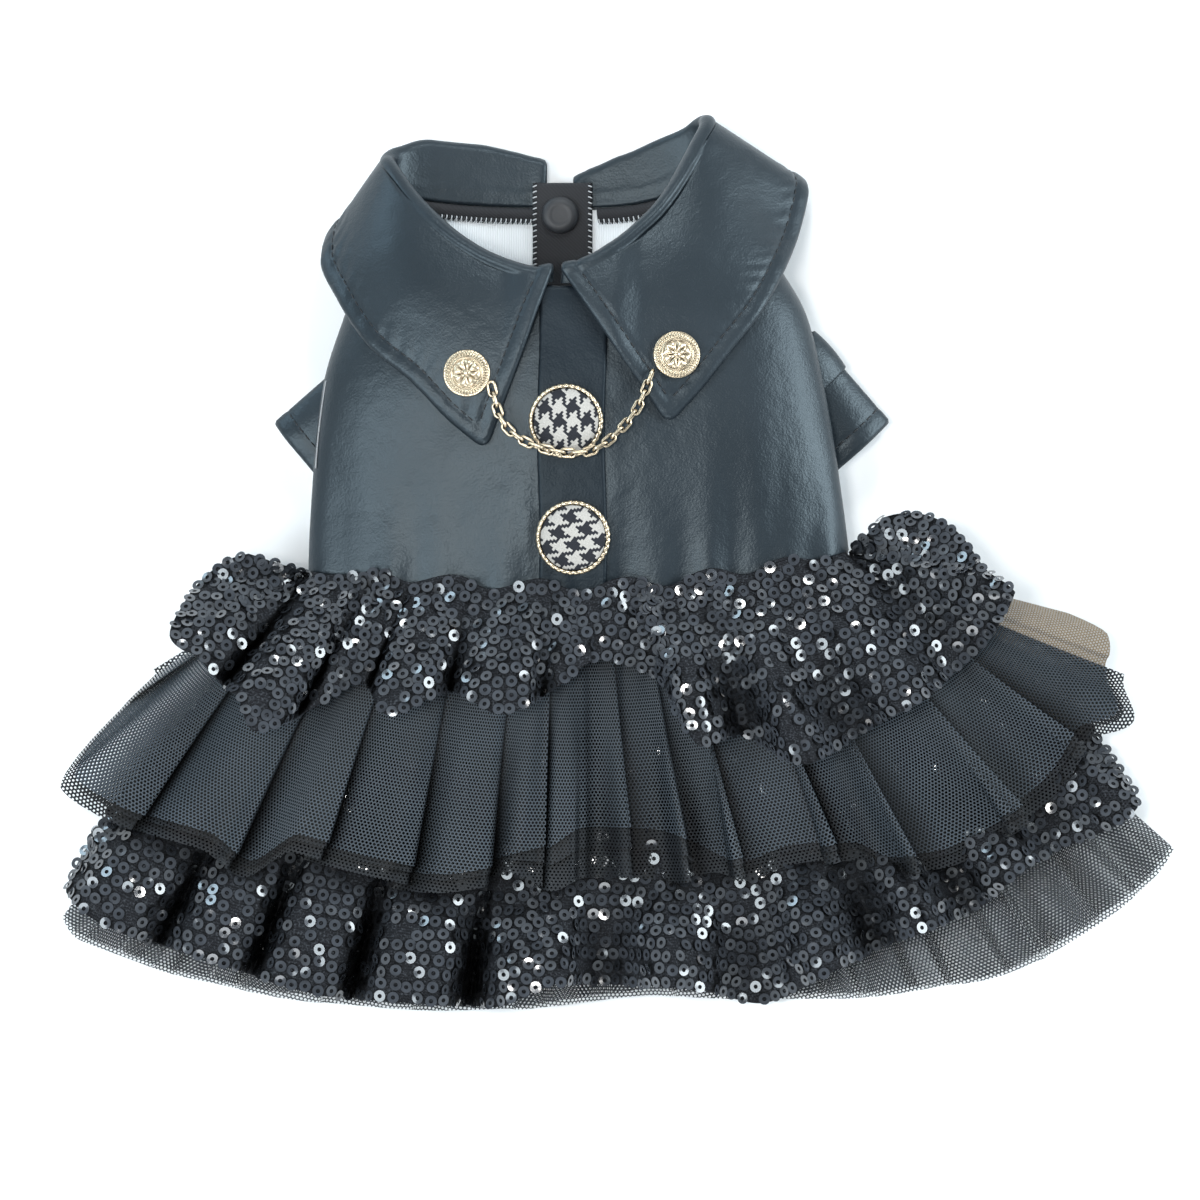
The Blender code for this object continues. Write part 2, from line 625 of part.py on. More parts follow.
def smooth_route(points, samples):
    """A smooth curve through the points, as samples evenly spaced along it."""
    fine = []
    last = len(points) - 1
    for index in range(last):
        before = points[max(index - 1, 0)]
        start = points[index]
        end = points[index + 1]
        after = points[min(index + 2, last)]
        for step in range(40):
            t = step / 40
            fine.append(
                0.5 * (2 * start + (end - before) * t
                       + (2 * before - 5 * start + 4 * end - after) * t * t
                       + (3 * start - before - 3 * end + after) * t * t * t)
            )
    fine.append(points[last])
    travelled = [0.0]
    for index in range(1, len(fine)):
        travelled.append(travelled[-1] + (fine[index] - fine[index - 1]).length)
    route = []
    cursor = 0
    for sample in range(samples):
        wanted = travelled[-1] * sample / (samples - 1)
        while cursor < len(fine) - 2 and travelled[cursor + 1] < wanted:
            cursor += 1
        span = travelled[cursor + 1] - travelled[cursor]
        route.append(fine[cursor].lerp(fine[cursor + 1], (wanted - travelled[cursor]) / span))
    return route


def add_link(mesh, centre, forward, lean, pitch):
    """Add one oval link: a round wire along two straights and two half circles."""
    side = forward.cross(lean).normalized()
    wire = LINK_WIRE / 2
    bend = (LINK_WIDTH - LINK_WIRE) / 2
    straight = (pitch + LINK_WIRE - LINK_BITE) / 2 - bend
    rings = []
    around = 10
    for index in range(around):
        turn = 2 * math.pi * (index + 0.5) / around
        shift = math.copysign(straight, math.cos(turn))
        outward = forward * math.cos(turn) + side * math.sin(turn)
        middle = centre + forward * shift + outward * bend
        ring = []
        for corner in range(5):
            spin = 2 * math.pi * corner / 5
            reach = outward * wire * math.cos(spin) + lean * wire * math.sin(spin)
            ring.append(mesh.verts.new(middle + reach))
        rings.append(ring)
    for index in range(around):
        ring = rings[index]
        following = rings[(index + 1) % around]
        for corner in range(5):
            beside = (corner + 1) % 5
            mesh.faces.new((ring[corner], following[corner], following[beside], ring[beside]))


def make_chain(collection, gold):
    """A cable chain whose links turn a quarter one after another, joined into one body."""
    left = Vector((CHEST_HALF * GOLD_BUTTONS[0][1], BACK_LENGTH * GOLD_BUTTONS[0][2], 0.0))
    right = Vector((CHEST_HALF * GOLD_BUTTONS[1][1], BACK_LENGTH * GOLD_BUTTONS[1][2], 0.0))
    distance = (right - left).length
    points = []
    for along, drop, height in CHAIN_ROUTE:
        spot = left.lerp(right, along) - Vector((0.0, drop * distance, 0.0))
        spot.z = back_height(spot.x, spot.y) + height
        points.append(spot)
    route = smooth_route(points, LINK_COUNT)
    pitch = sum((route[i + 1] - route[i]).length for i in range(LINK_COUNT - 1)) / (LINK_COUNT - 1)
    halves = []
    for parity in (0, 1):
        mesh = bmesh.new()
        for index in range(parity, LINK_COUNT, 2):
            before = route[max(index - 1, 0)]
            after = route[min(index + 1, LINK_COUNT - 1)]
            forward = (after - before).normalized()
            level = forward.cross(Vector((0.0, 0.0, 1.0))).normalized()
            upright = level.cross(forward).normalized()
            lean = (upright + level * (1 if parity else -1)).normalized()
            add_link(mesh, route[index], forward, lean, pitch)
        bmesh.ops.recalc_face_normals(mesh, faces=mesh.faces)
        data = bpy.data.meshes.new("collar_chain")
        mesh.to_mesh(data)
        mesh.free()
        halves.append(bpy.data.objects.new("chain_links_%d" % parity, data))
    chain, others = halves
    chain.name = "collar_chain"
    finish(chain, collection, gold)
    return chain, others


def join_chain(chain, others, cutters):
    """Union the even and the odd links."""
    cutters.objects.link(others)
    others.hide_render = True
    others.display_type = "WIRE"
    join = chain.modifiers.new("Join", "BOOLEAN")
    join.operation = "UNION"
    join.object = others


def ray(place):
    """Start and direction of one skirt ray in plan, from the waist edge."""
    angle = read(RAYS, place, 1)
    direction = math.radians(read(RAYS, place, 2))
    waist = body_point(angle, waist_edge(angle))
    return waist, Vector((math.sin(direction), -math.cos(direction), 0.0))


def fold_height(folds, place):
    """Share of a ruffle's fold height at a place across the skirt."""
    height = 0.0
    for centre, half, share in folds:
        reach = abs(place - centre) / half
        if reach < 1:
            height = max(height, share * math.cos(math.pi * reach / 2) ** 2)
    return height


def make_skirt(collection, sequins, tulle):
    """The four ruffles. Each is straight along its rays, so a ruffle keeps clear of the one under it."""
    rest = FLOOR_CLEARANCE + TULLE / 2
    top = len(RUFFLES) - 1
    for level, (name, hem, folds, start, end, height, wall, rows) in enumerate(RUFFLES):
        root_drop = LEATHER / 2 + GAP + wall + (level - top) * LAYER_STEP
        first = round(SKIRT_COLUMNS * start)
        last = round(SKIRT_COLUMNS * end)

        def place(u, v, level=level, hem=hem, folds=folds, first=first, last=last,
                  height=height, rows=rows, rest=rest, root_drop=root_drop):
            spot = (first + (last - first) * u) / SKIRT_COLUMNS
            waist, direction = ray(spot)
            length = SKIRT_LENGTH * read(hem, spot, 1)
            fold = fold_height(folds, spot)
            lift = root_drop
            if level < top:
                reach = SEAM_START + (length - SEAM_START) * v
                share = reach / SKIRT_LENGTH
                rise = fold * height * share
            else:
                scallop = 0.65 + 0.35 * math.cos(2 * math.pi * HEADING_SCALLOPS * spot)
                heading = HEADING_DEPTH * scallop * ease(min(spot, 1 - spot) / 0.22 - 0.3)
                begin = -heading if heading > SEAM_START else SEAM_START
                reach = begin + (length - begin) * v
                lift += over_placket(waist.x)
                share = reach / SKIRT_LENGTH
                along = max(reach / length, 0.0)
                rise = fold * height * along ** 1.4 + PUFF_HEIGHT * math.sin(math.pi * along) * (1 - fold / 2)
            point = waist + direction * reach
            root_z = waist.z + lift
            if reach < 0:
                root_z = back_height(point.x, point.y) + lift
                share = 0.0
                rise = 0.0
            point.z = root_z * (1 - share) + rest * share + rise
            return point

        material = sequins if name.startswith("sequin") else tulle
        sheet(name, last - first, rows, place, wall, collection, material)
        rest += height + RIDGE_STEP


def centre_on_floor(collection, cutters):
    """Move everything so that the origin is at the bottom centre of the dress's box."""
    bpy.context.view_layer.update()
    graph = bpy.context.evaluated_depsgraph_get()
    corners = []
    for obj in collection.objects:
        evaluated = obj.evaluated_get(graph)
        mesh = evaluated.to_mesh()
        corners.extend(obj.matrix_world @ vertex.co for vertex in mesh.vertices)
        evaluated.to_mesh_clear()
    low = Vector([min(corner[axis] for corner in corners) for axis in range(3)])
    high = Vector([max(corner[axis] for corner in corners) for axis in range(3)])
    shift = Vector((-(low.x + high.x) / 2, -(low.y + high.y) / 2, -low.z))
    for obj in list(collection.objects) + list(cutters.objects):
        obj.location = obj.location + shift


def main():
    """Build the dress."""
    clear_scene()
    dress = new_collection("dog_dress")
    cutters = new_collection("cutters")
    leather = new_material("leather", (0.028, 0.034, 0.040), 0.42)
    black_cloth = new_material("black_cloth", (0.012, 0.012, 0.014), 0.8)
    houndstooth = new_material("houndstooth_cloth", (0.35, 0.34, 0.32), 0.85)
    gold = new_material("pale_gold", (0.80, 0.66, 0.42), 0.28, 1.0)
    snap = new_material("snap_plastic", (0.02, 0.02, 0.022), 0.5)
    sequins = new_material("sequin_net", (0.015, 0.015, 0.018), 0.3)
    tulle = new_material("tulle", (0.03, 0.03, 0.033), 0.9)
    panels = make_bodice(dress, leather)
    make_sleeves(dress, cutters, leather, panels)
    make_placket(dress, leather)
    make_closing_strip(dress, black_cloth)
    make_snap(dress, snap)
    make_collar("collar_left", COLLAR_LEFT, -1, dress, leather)
    make_collar("collar_right", COLLAR_RIGHT, 1, dress, leather)
    make_cloth_buttons(dress, houndstooth, gold)
    make_gold_buttons(dress, cutters, gold)
    chain, others = make_chain(dress, gold)
    join_chain(chain, others, cutters)
    make_skirt(dress, sequins, tulle)
    centre_on_floor(dress, cutters)


main()
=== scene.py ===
import math

import bpy
import numpy as np
from mathutils import Matrix, Vector


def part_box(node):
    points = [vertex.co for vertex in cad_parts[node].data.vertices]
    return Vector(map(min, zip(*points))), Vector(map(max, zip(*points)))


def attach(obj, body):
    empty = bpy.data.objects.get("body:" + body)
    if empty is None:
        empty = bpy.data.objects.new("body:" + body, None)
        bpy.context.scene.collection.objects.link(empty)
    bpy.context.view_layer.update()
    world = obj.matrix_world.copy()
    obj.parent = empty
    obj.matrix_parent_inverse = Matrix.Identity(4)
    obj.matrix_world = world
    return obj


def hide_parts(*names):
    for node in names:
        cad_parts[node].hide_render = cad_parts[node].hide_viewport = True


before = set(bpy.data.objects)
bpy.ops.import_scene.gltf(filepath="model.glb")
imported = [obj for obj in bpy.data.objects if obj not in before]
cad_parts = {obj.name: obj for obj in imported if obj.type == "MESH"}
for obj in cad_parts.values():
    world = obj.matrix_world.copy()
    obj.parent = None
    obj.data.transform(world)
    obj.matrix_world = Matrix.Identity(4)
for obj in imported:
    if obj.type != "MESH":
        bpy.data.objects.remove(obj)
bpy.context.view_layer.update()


# Floor, light and camera
# The dress lies on a white table under a big soft window light from the upper left, and it is seen
# almost straight from above, a little from the hem's side.

bpy.context.scene.view_settings.view_transform = "Standard"
bpy.context.scene.cycles.transparent_max_bounces = 40


def fill(tree, node, inputs):
    """Fill a node's inputs: a socket is linked, and a value is set, with an alpha of 1 on a colour."""
    for key, value in inputs.items():
        socket = node.inputs[key]
        if isinstance(value, bpy.types.NodeSocket):
            tree.links.new(value, socket)
        else:
            socket.default_value = (*value, 1) if socket.type == "RGBA" else value


def add_node(tree, kind, inputs=None, output=None, **settings):
    """Add a node with its settings and inputs, and give back one of its outputs, or the node."""
    node = tree.nodes.new(kind)
    for key, value in settings.items():
        setattr(node, key, value)
    fill(tree, node, inputs or {})
    return node.outputs[output] if output else node


def new_material(name):
    """Make a node material and give back the material, its tree and its shader."""
    material = bpy.data.materials.new(name)
    material.use_nodes = True
    return material, material.node_tree, material.node_tree.nodes["Principled BSDF"]


def mix_colors(tree, factor, first, second):
    """Mix two colours by a factor."""
    return add_node(tree, "ShaderNodeMix", {"Factor": factor, "A": first, "B": second}, "Result", data_type="RGBA")


TABLE_HALF = 4.0
table_mesh = bpy.data.meshes.new("table_top")
table_corners = [(TABLE_HALF * x, TABLE_HALF * y, 0) for x, y in ((-1, -1), (1, -1), (1, 1), (-1, 1))]
table_mesh.from_pydata(table_corners, [], [(0, 1, 2, 3)])
table_top = bpy.data.objects.new("table_top", table_mesh)
bpy.context.scene.collection.objects.link(table_top)
table_paint, tree, shader = new_material("white_table")
fill(tree, shader, {"Base Color": (0.93, 0.93, 0.93), "Roughness": 0.9, "Specular IOR Level": 0.1})
table_mesh.materials.append(table_paint)

world = bpy.data.worlds.new("pale_room")
world.use_nodes = True
room = world.node_tree
around_room = add_node(room, "ShaderNodeTexCoord", output="Generated")
up_in_room = add_node(room, "ShaderNodeSeparateXYZ", {"Vector": around_room}, "Z")
room_height = add_node(room, "ShaderNodeMapRange", {"Value": up_in_room, "From Min": 0.25, "From Max": 0.95},
                       "Result", interpolation_type="SMOOTHSTEP")
room_color = mix_colors(room, room_height, (0.86, 0.95, 1.0), (0.11, 0.125, 0.14))
fill(room, room.nodes["Background"], {"Color": room_color, "Strength": 0.9})
bpy.context.scene.world = world


def add_window(name, place, target, width, height, power, color):
    """A soft rectangular light that faces its target."""
    light = bpy.data.lights.new(name, "AREA")
    light.shape = "RECTANGLE"
    light.size = width
    light.size_y = height
    light.energy = power
    light.color = color
    lamp = bpy.data.objects.new(name, light)
    lamp.location = place
    lamp.rotation_euler = (Vector(target) - Vector(place)).to_track_quat("-Z", "Y").to_euler()
    bpy.context.scene.collection.objects.link(lamp)


add_window("window_left", (-0.85, -0.22, 1.20), (-0.02, 0.02, 0), 0.75, 0.6, 13.0, (0.84, 0.94, 1.0))
add_window("window_right", (1.15, 0.25, 0.70), (0.02, 0.02, 0), 0.7, 0.5, 16.5, (0.86, 0.95, 1.0))
add_window("neck_light", (0.01, 0.36, 0.30), (0.005, 0.09, 0.0), 0.08, 0.08, 0.5, (0.93, 0.98, 1.0))
add_window("hem_light", (0.1, -1.3, 0.8), (0, -0.05, 0), 0.9, 0.5, 8.0, (0.93, 0.97, 1.0))
add_window("sky_light", (-1.0, 0.95, 0.45), (-0.05, 0.1, 0), 0.5, 0.3, 4.0, (0.60, 0.83, 1.0))
add_window("ceiling_light", (-0.20, -0.02, 1.5), (0, 0, 0), 0.22, 0.22, 8.0, (1.0, 0.99, 0.97))

PHOTO_WIDTH = 0.384
VIEW_TARGET = Vector((-0.0058, -0.0119, 0.020))
VIEW_DISTANCE = 2.4
VIEW_ELEVATION = math.radians(88)
SENSOR_WIDTH = 36.0
camera_data = bpy.data.cameras.new("photo_camera")
camera_data.sensor_width = SENSOR_WIDTH
camera_data.lens = SENSOR_WIDTH * VIEW_DISTANCE / PHOTO_WIDTH
camera_data.clip_end = 20.0
camera = bpy.data.objects.new("photo_camera", camera_data)
camera_side = Vector((0, -math.cos(VIEW_ELEVATION), math.sin(VIEW_ELEVATION)))
camera.location = VIEW_TARGET + VIEW_DISTANCE * camera_side
camera.rotation_euler = (VIEW_TARGET - camera.location).to_track_quat("-Z", "Y").to_euler()
bpy.context.scene.collection.objects.link(camera)
bpy.context.scene.camera = camera


# Bodice back
# The domed upper half of the bodice is one piece of charcoal imitation leather with a pale knitted
# lining, cut from side seam to side seam and gathered a little into the waist seam.

CHEST_HALF = 0.086
BACK_LENGTH = 0.126
BODY_HEIGHT = 0.040
BODY_ROUNDNESS = 0.85
LEATHER = 0.0012
SEAM_ANGLE = 0.6
GAP = 0.00035
EDGE_RADIUS = 0.0008
WAIST_GATHER = 0.016
TUCK_HEIGHT = 0.0009
DENT_HEIGHT = 0.0007

# (place, left, right, crown, side, belly)
BODY = (
    (-0.06, 0.975, 1.035, 0.86, 0.48, 0.030),
    (0.00, 0.975, 1.030, 0.88, 0.49, 0.030),
    (0.28, 0.955, 0.980, 0.95, 0.50, 0.030),
    (0.48, 0.920, 0.930, 0.98, 0.50, 0.035),
    (0.65, 0.845, 0.870, 0.96, 0.49, 0.060),
    (0.80, 0.760, 0.745, 0.90, 0.47, 0.100),
    (0.94, 0.700, 0.600, 0.80, 0.43, 0.120),
    (1.06, 0.650, 0.530, 0.72, 0.40, 0.120),
)
NECK_BACK = 0.722
NECK_BELLY = 0.937
NECK_LEFT = 0.968
NECK_RIGHT = 1.063
WAIST_MIDDLE = -0.060
WAIST_LEFT = 0.000
WAIST_RIGHT = 0.050

placket_low, placket_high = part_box("placket")
_, crown_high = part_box("back_panel")
BODY_ORIGIN = np.array([
    (placket_low.x + placket_high.x) / 2,
    placket_low.y - BACK_LENGTH * WAIST_MIDDLE,
    crown_high.z - BODY_HEIGHT * 0.98 - LEATHER / 2,
])


def read(table, place, column):
    """Read a table's column smoothly at places along its first column."""
    places = np.array([row[0] for row in table], float)
    values = np.array([row[column] for row in table], float)
    steps = np.diff(values) / np.diff(places)
    both = steps[:-1] * steps[1:]
    inner = np.where(both > 0, 2 * both / np.where(both > 0, steps[:-1] + steps[1:], 1.0), 0.0)
    slopes = np.concatenate([steps[:1], inner, steps[-1:]])
    spot = np.clip(place, places[0], places[-1])
    index = np.clip(np.searchsorted(places, spot) - 1, 0, len(places) - 2)
    span = places[index + 1] - places[index]
    t = (spot - places[index]) / span
    start = (1 + 2 * t) * (1 - t) ** 2 * values[index] + t * (1 - t) ** 2 * span * slopes[index]
    end = t * t * (3 - 2 * t) * values[index + 1] - t * t * (1 - t) * span * slopes[index + 1]
    return start + end


def ease(value):
    """Rise smoothly from 0 to 1."""
    value = np.clip(value, 0.0, 1.0)
    return value * value * (3 - 2 * value)


def body_section(y):
    """Half widths and heights of the bodice at places along the back."""
    place = np.asarray(y, float) / BACK_LENGTH
    sizes = [read(BODY, place, column) for column in range(1, 6)]
    return [CHEST_HALF * sizes[0], CHEST_HALF * sizes[1]] + [BODY_HEIGHT * size for size in sizes[2:]]


def body_point(angle, y):
    """Points on the bodice: 0 degrees at the right side seam, 90 on the back, -90 on the belly."""
    left, right, crown, side, belly = body_section(y)
    across = np.cos(np.radians(angle))
    rise = np.sin(np.radians(angle))
    half = np.where(across >= 0, right, left)
    reach = np.where(rise < 0, side - belly, crown - side)
    height = side + np.sign(rise) * reach * np.abs(rise) ** BODY_ROUNDNESS
    return np.stack(np.broadcast_arrays(half * across, y, height), -1)


def back_height(x, y, overhang=0.0):
    """Height of the back over points in plan, or of a wider shape that lies over it."""
    left, right, crown, side, _ = body_section(y)
    half = np.where(np.asarray(x) >= 0, right, left) + overhang
    if overhang == 0.0:
        share = np.minimum(np.abs(x) / half, 1.0)
        return side + (crown - side) * (1 - share * share) ** (BODY_ROUNDNESS / 2)
    inside = 1 - (np.abs(x) / half) ** 2
    inside = (inside + np.sqrt(inside * inside + 0.02)) / 2
    return side + (crown - side) * np.minimum(inside, 1.0) ** 0.5


def belly_height(x, y):
    """Height of the belly over points in plan."""
    left, right, _, side, belly = body_section(y)
    share = np.minimum(np.abs(x) / np.where(np.asarray(x) >= 0, right, left), 1.0)
    return side - (side - belly) * (1 - share * share) ** (BODY_ROUNDNESS / 2)


def neck_edge(angle):
    """Place of the neck edge along the back."""
    across = np.cos(np.radians(angle))
    on_back = np.sin(np.radians(angle)) >= 0
    side = np.where(across >= 0, NECK_RIGHT, NECK_LEFT)
    middle = np.where(on_back, NECK_BACK, NECK_BELLY)
    power = np.where(on_back, 1.9, 3.0)
    return BACK_LENGTH * (middle + (side - middle) * np.abs(across) ** power)


def waist_edge(angle):
    """Place of the waist edge along the back."""
    across = np.cos(np.radians(angle))
    side = np.where(across >= 0, WAIST_RIGHT, WAIST_LEFT)
    return BACK_LENGTH * (WAIST_MIDDLE + (side - WAIST_MIDDLE) * across * across)


def drift(x, y, wave, seed):
    """Smooth wandering between -1 and 1 over a surface, with bumps about one wave apart."""
    dice = np.random.default_rng(seed)
    total = 0.0
    for _ in range(7):
        turn = dice.uniform(0, 2 * math.pi)
        pace = 2 * math.pi / wave * dice.uniform(0.55, 1.25)
        total = total + np.sin(pace * (x * math.cos(turn) + y * math.sin(turn)) + dice.uniform(0, 6.28))
    return total / 3.2


def grid_normals(points, closed=False):
    """Unit normals of a grid of points."""
    if closed:
        across = np.roll(points, -1, 0) - np.roll(points, 1, 0)
    else:
        across = np.gradient(points, axis=0)
    along = np.gradient(points, axis=1)
    normal = np.cross(across, along)
    return normal / np.maximum(np.linalg.norm(normal, axis=-1, keepdims=True), 1e-12)


def run_lengths(points):
    """Length run along each axis of a grid, from its first row and column."""
    across = np.linalg.norm(np.diff(points, axis=0), axis=-1)
    along = np.linalg.norm(np.diff(points, axis=1), axis=-1)
    across = np.concatenate([np.zeros((1, points.shape[1])), np.cumsum(across, 0)], 0)
    along = np.concatenate([np.zeros((points.shape[0], 1)), np.cumsum(along, 1)], 1)
    return across, along


def new_piece(name, points, faces, materials, cloth_map=None, face_slots=None):
    """Make a smooth mesh object that rides on the dress, with a map of the cloth in metres."""
    mesh = bpy.data.meshes.new(name)
    mesh.from_pydata((points + BODY_ORIGIN).tolist(), [], faces if isinstance(faces, list) else faces.tolist())
    for material in materials:
        mesh.materials.append(material)
    if face_slots is not None:
        mesh.polygons.foreach_set("material_index", np.asarray(face_slots, np.int32))
    if cloth_map is not None:
        corners = np.empty(len(mesh.loops), np.int32)
        mesh.loops.foreach_get("vertex_index", corners)
        layer = mesh.uv_layers.new(name="cloth")
        layer.data.foreach_set("uv", cloth_map[corners].astype(np.float32).ravel())
    mesh.shade_smooth()
    mesh.update()
    piece = bpy.data.objects.new(name, mesh)
    bpy.context.scene.collection.objects.link(piece)
    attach(piece, "root")
    return piece


def grid_faces(columns, rows, closed=False):
    """Quads of a grid of points, column by column."""
    index = np.arange(columns * rows).reshape(columns, rows)
    following = np.roll(index, -1, 0) if closed else index[1:]
    index = index if closed else index[:-1]
    quads = np.stack([index[:, :-1], following[:, :-1], following[:, 1:], index[:, 1:]], -1)
    return quads.reshape(-1, 4)


def leather_piece(name, points, half, outer, inner, closed=False, shift=None):
    """Make a closed wall round a grid of points, with half the wall given at each point."""
    columns, rows = points.shape[:2]
    normal = grid_normals(points, closed)
    if shift is not None:
        points = points + normal * shift[..., None]
    shell = np.concatenate([(points + normal * half[..., None]).reshape(-1, 3),
                            (points - normal * half[..., None]).reshape(-1, 3)])
    count = columns * rows
    top = grid_faces(columns, rows, closed)
    bottom = top[:, ::-1] + count
    index = np.arange(count).reshape(columns, rows)
    if closed:
        rims = []
        for edge, flip in ((index[:, 0], False), (index[:, -1], True)):
            onward = np.roll(edge, -1)
            quad = np.stack([onward, edge, edge + count, onward + count], -1)
            rims.append(quad[:, ::-1] if flip else quad)
        rim = np.concatenate(rims)
    else:
        border = np.concatenate([index[:, 0], index[-1, 1:], index[-2::-1, -1], index[0, -2:0:-1]])
        onward = np.roll(border, -1)
        rim = np.stack([onward, border, border + count, onward + count], -1)
    across, along = run_lengths(points)
    cloth_map = np.stack([across, along], -1).reshape(-1, 2)
    slots = np.concatenate([np.zeros(len(top)), np.ones(len(bottom)), np.zeros(len(rim))])
    return new_piece(name, shell, np.concatenate([top, bottom, rim]), [outer, inner],
                     np.concatenate([cloth_map, cloth_map]), slots)


def object_place(tree):
    """Places on the piece itself, in metres."""
    return add_node(tree, "ShaderNodeTexCoord", output="Object")


def noise(tree, place, scale, detail=2.0):
    """Noise between 0 and 1."""
    return add_node(tree, "ShaderNodeTexNoise", {"Scale": scale, "Detail": detail, "Vector": place}, "Fac")


def spread(tree, value, low, high):
    """A number between 0 and 1, spread from a low to a high value."""
    return add_node(tree, "ShaderNodeMapRange", {"Value": value, "To Min": low, "To Max": high}, "Result")


def bump(tree, height, strength, distance, below=None):
    """A normal bent by a height, over the normal of a bump below it."""
    inputs = {"Height": height, "Strength": strength, "Distance": distance}
    if below is not None:
        inputs["Normal"] = below
    return add_node(tree, "ShaderNodeBump", inputs, "Normal")


leather, tree, shader = new_material("charcoal_leather")
place = object_place(tree)
pebble = add_node(tree, "ShaderNodeTexVoronoi", {"Scale": 1500, "Smoothness": 0.6, "Vector": place}, "Distance",
                  feature="SMOOTH_F1")
cloud = noise(tree, place, 22, 3)
pebbled = bump(tree, pebble, 0.45, 0.00012)
creased = bump(tree, noise(tree, place, 260, 6), 0.32, 0.0004, pebbled)
fill(tree, shader, {
    "Base Color": mix_colors(tree, cloud, (0.005, 0.008, 0.011), (0.013, 0.018, 0.024)),
    "Roughness": spread(tree, cloud, 0.35, 0.49),
    "Specular IOR Level": 0.5,
    "Specular Tint": (0.79, 0.93, 1.0),
    "Normal": bump(tree, noise(tree, place, 75, 4), 0.5, 0.0011, creased),
})

lining, tree, shader = new_material("pale_lining")
ribs = add_node(tree, "ShaderNodeTexWave", {"Scale": 420, "Distortion": 1.2, "Vector": object_place(tree)}, "Fac",
                wave_type="BANDS", bands_direction="X")
fill(tree, shader, {
    "Base Color": mix_colors(tree, ribs, (0.80, 0.83, 0.85), (0.88, 0.91, 0.93)),
    "Roughness": 0.85,
    "Sheen Weight": 0.3,
    "Normal": bump(tree, ribs, 0.4, 0.0002),
})


def panel_grid(start, end, columns, rows):
    """Points of a bodice panel from its waist edge to its neck edge."""
    angle = np.linspace(start, end, columns)[:, None]
    low = waist_edge(angle)
    y = low + (neck_edge(angle) - low) * np.linspace(0, 1, rows)[None, :]
    return body_point(angle, y), angle, y


def rounded(points, wall, radius):
    """Half a wall that rounds off towards the grid's edges."""
    across, along = run_lengths(points)
    reach = np.minimum(np.minimum(across, across[-1:] - across), np.minimum(along, along[:, -1:] - along))
    share = np.clip(1 - reach / radius, 0, 1)
    return wall / 2 * np.sqrt(np.maximum(1 - share ** 2, 0.02))


back_points, back_angle, back_y = panel_grid(180 - SEAM_ANGLE, SEAM_ANGLE, 150, 88)
back_half = rounded(back_points, LEATHER, EDGE_RADIUS)
waist_pull = np.exp(-(back_y - waist_edge(back_angle)) / WAIST_GATHER)
side_fade = ease(np.minimum(back_angle, 180 - back_angle) / 25)
tucks = drift(back_points[..., 0], back_y * 0.12, 0.011, 3) * waist_pull * TUCK_HEIGHT
dents = drift(back_points[..., 0], back_y, 0.06, 5) * DENT_HEIGHT
back_shift = (tucks + dents) * side_fade
under_placket = np.abs(back_points[..., 0]) < 0.013
back_shift = np.where(under_placket, back_shift * 0.3, back_shift)
back = leather_piece("bodice_back", back_points, back_half, leather, lining, shift=back_shift)
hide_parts("back_panel")


# Bodice belly
# Two leather halves close the bodice under the belly. Each has an armhole whose raw edge is left to
# show, and the same pale lining inside.

SLEEVE_WIDTH = 0.040
SLEEVE_HEIGHT = 0.011
SLEEVE_CLEARANCE = 0.0004

# (name, root_x, root_y, root_z, end_x, end_y, end_z)
SLEEVES = (
    ("left", -0.593, 0.488, 0.35, -0.965, 0.271, 0.16),
    ("right", 0.690, 0.540, 0.35, 1.014, 0.290, 0.16),
)


def sleeve_frame(row):
    """Root, end and the directions of one sleeve."""
    _, root_x, root_y, root_z, end_x, end_y, end_z = row
    root = Vector((CHEST_HALF * root_x, BACK_LENGTH * root_y, BODY_HEIGHT * root_z))
    end = Vector((CHEST_HALF * end_x, BACK_LENGTH * end_y, BODY_HEIGHT * end_z))
    axis = (end - root).normalized()
    across = Vector((axis.y, -axis.x, 0.0)).normalized()
    upward = across.cross(axis)
    return root, end, axis, across, upward if upward.z > 0 else -upward


for row, start, end in ((SLEEVES[0], -180 + SEAM_ANGLE, -90 - SEAM_ANGLE / 2),
                        (SLEEVES[1], -90 + SEAM_ANGLE / 2, -SEAM_ANGLE)):
    belly_points, _, _ = panel_grid(end, start, 60, 56)
    belly_half = rounded(belly_points, LEATHER, EDGE_RADIUS)
    belly = leather_piece("bodice_belly_" + row[0], belly_points, belly_half, leather, lining)
    root, tip, axis, across, upward = sleeve_frame(row)
    bpy.ops.mesh.primitive_cylinder_add(vertices=96, radius=1.0, depth=1.0)
    hole = bpy.context.object
    wide = SLEEVE_WIDTH / 2 + SLEEVE_CLEARANCE
    high = SLEEVE_HEIGHT / 2 + SLEEVE_CLEARANCE
    shape = Matrix((across * wide, upward * high, axis * ((tip - root).length + 0.0016))).transposed().to_4x4()
    shape.translation = (root + tip) / 2 + Vector(BODY_ORIGIN)
    hole.data.transform(shape)
    if shape.determinant() < 0:
        hole.data.flip_normals()
    cut = belly.modifiers.new("armhole", "BOOLEAN")
    cut.operation = "DIFFERENCE"
    cut.object = hole
    bpy.context.view_layer.objects.active = belly
    bpy.ops.object.modifier_apply(modifier=cut.name)
    bpy.data.objects.remove(hole, do_unlink=True)
    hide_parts("belly_panel_" + row[0])


# Sleeves
# Short sleeves of the same leather are set in the armholes and pressed flat, so that only their hems
# peek out at the sides. Each hem is turned in and topstitched once. The left armhole's cut edge shows
# as a pale line, and the right sleeve has a soft fold at its head.

SLEEVE_HEM = 0.0060
HEM_STITCH_INSET = 0.0058
STITCH_WIRE = 0.0004


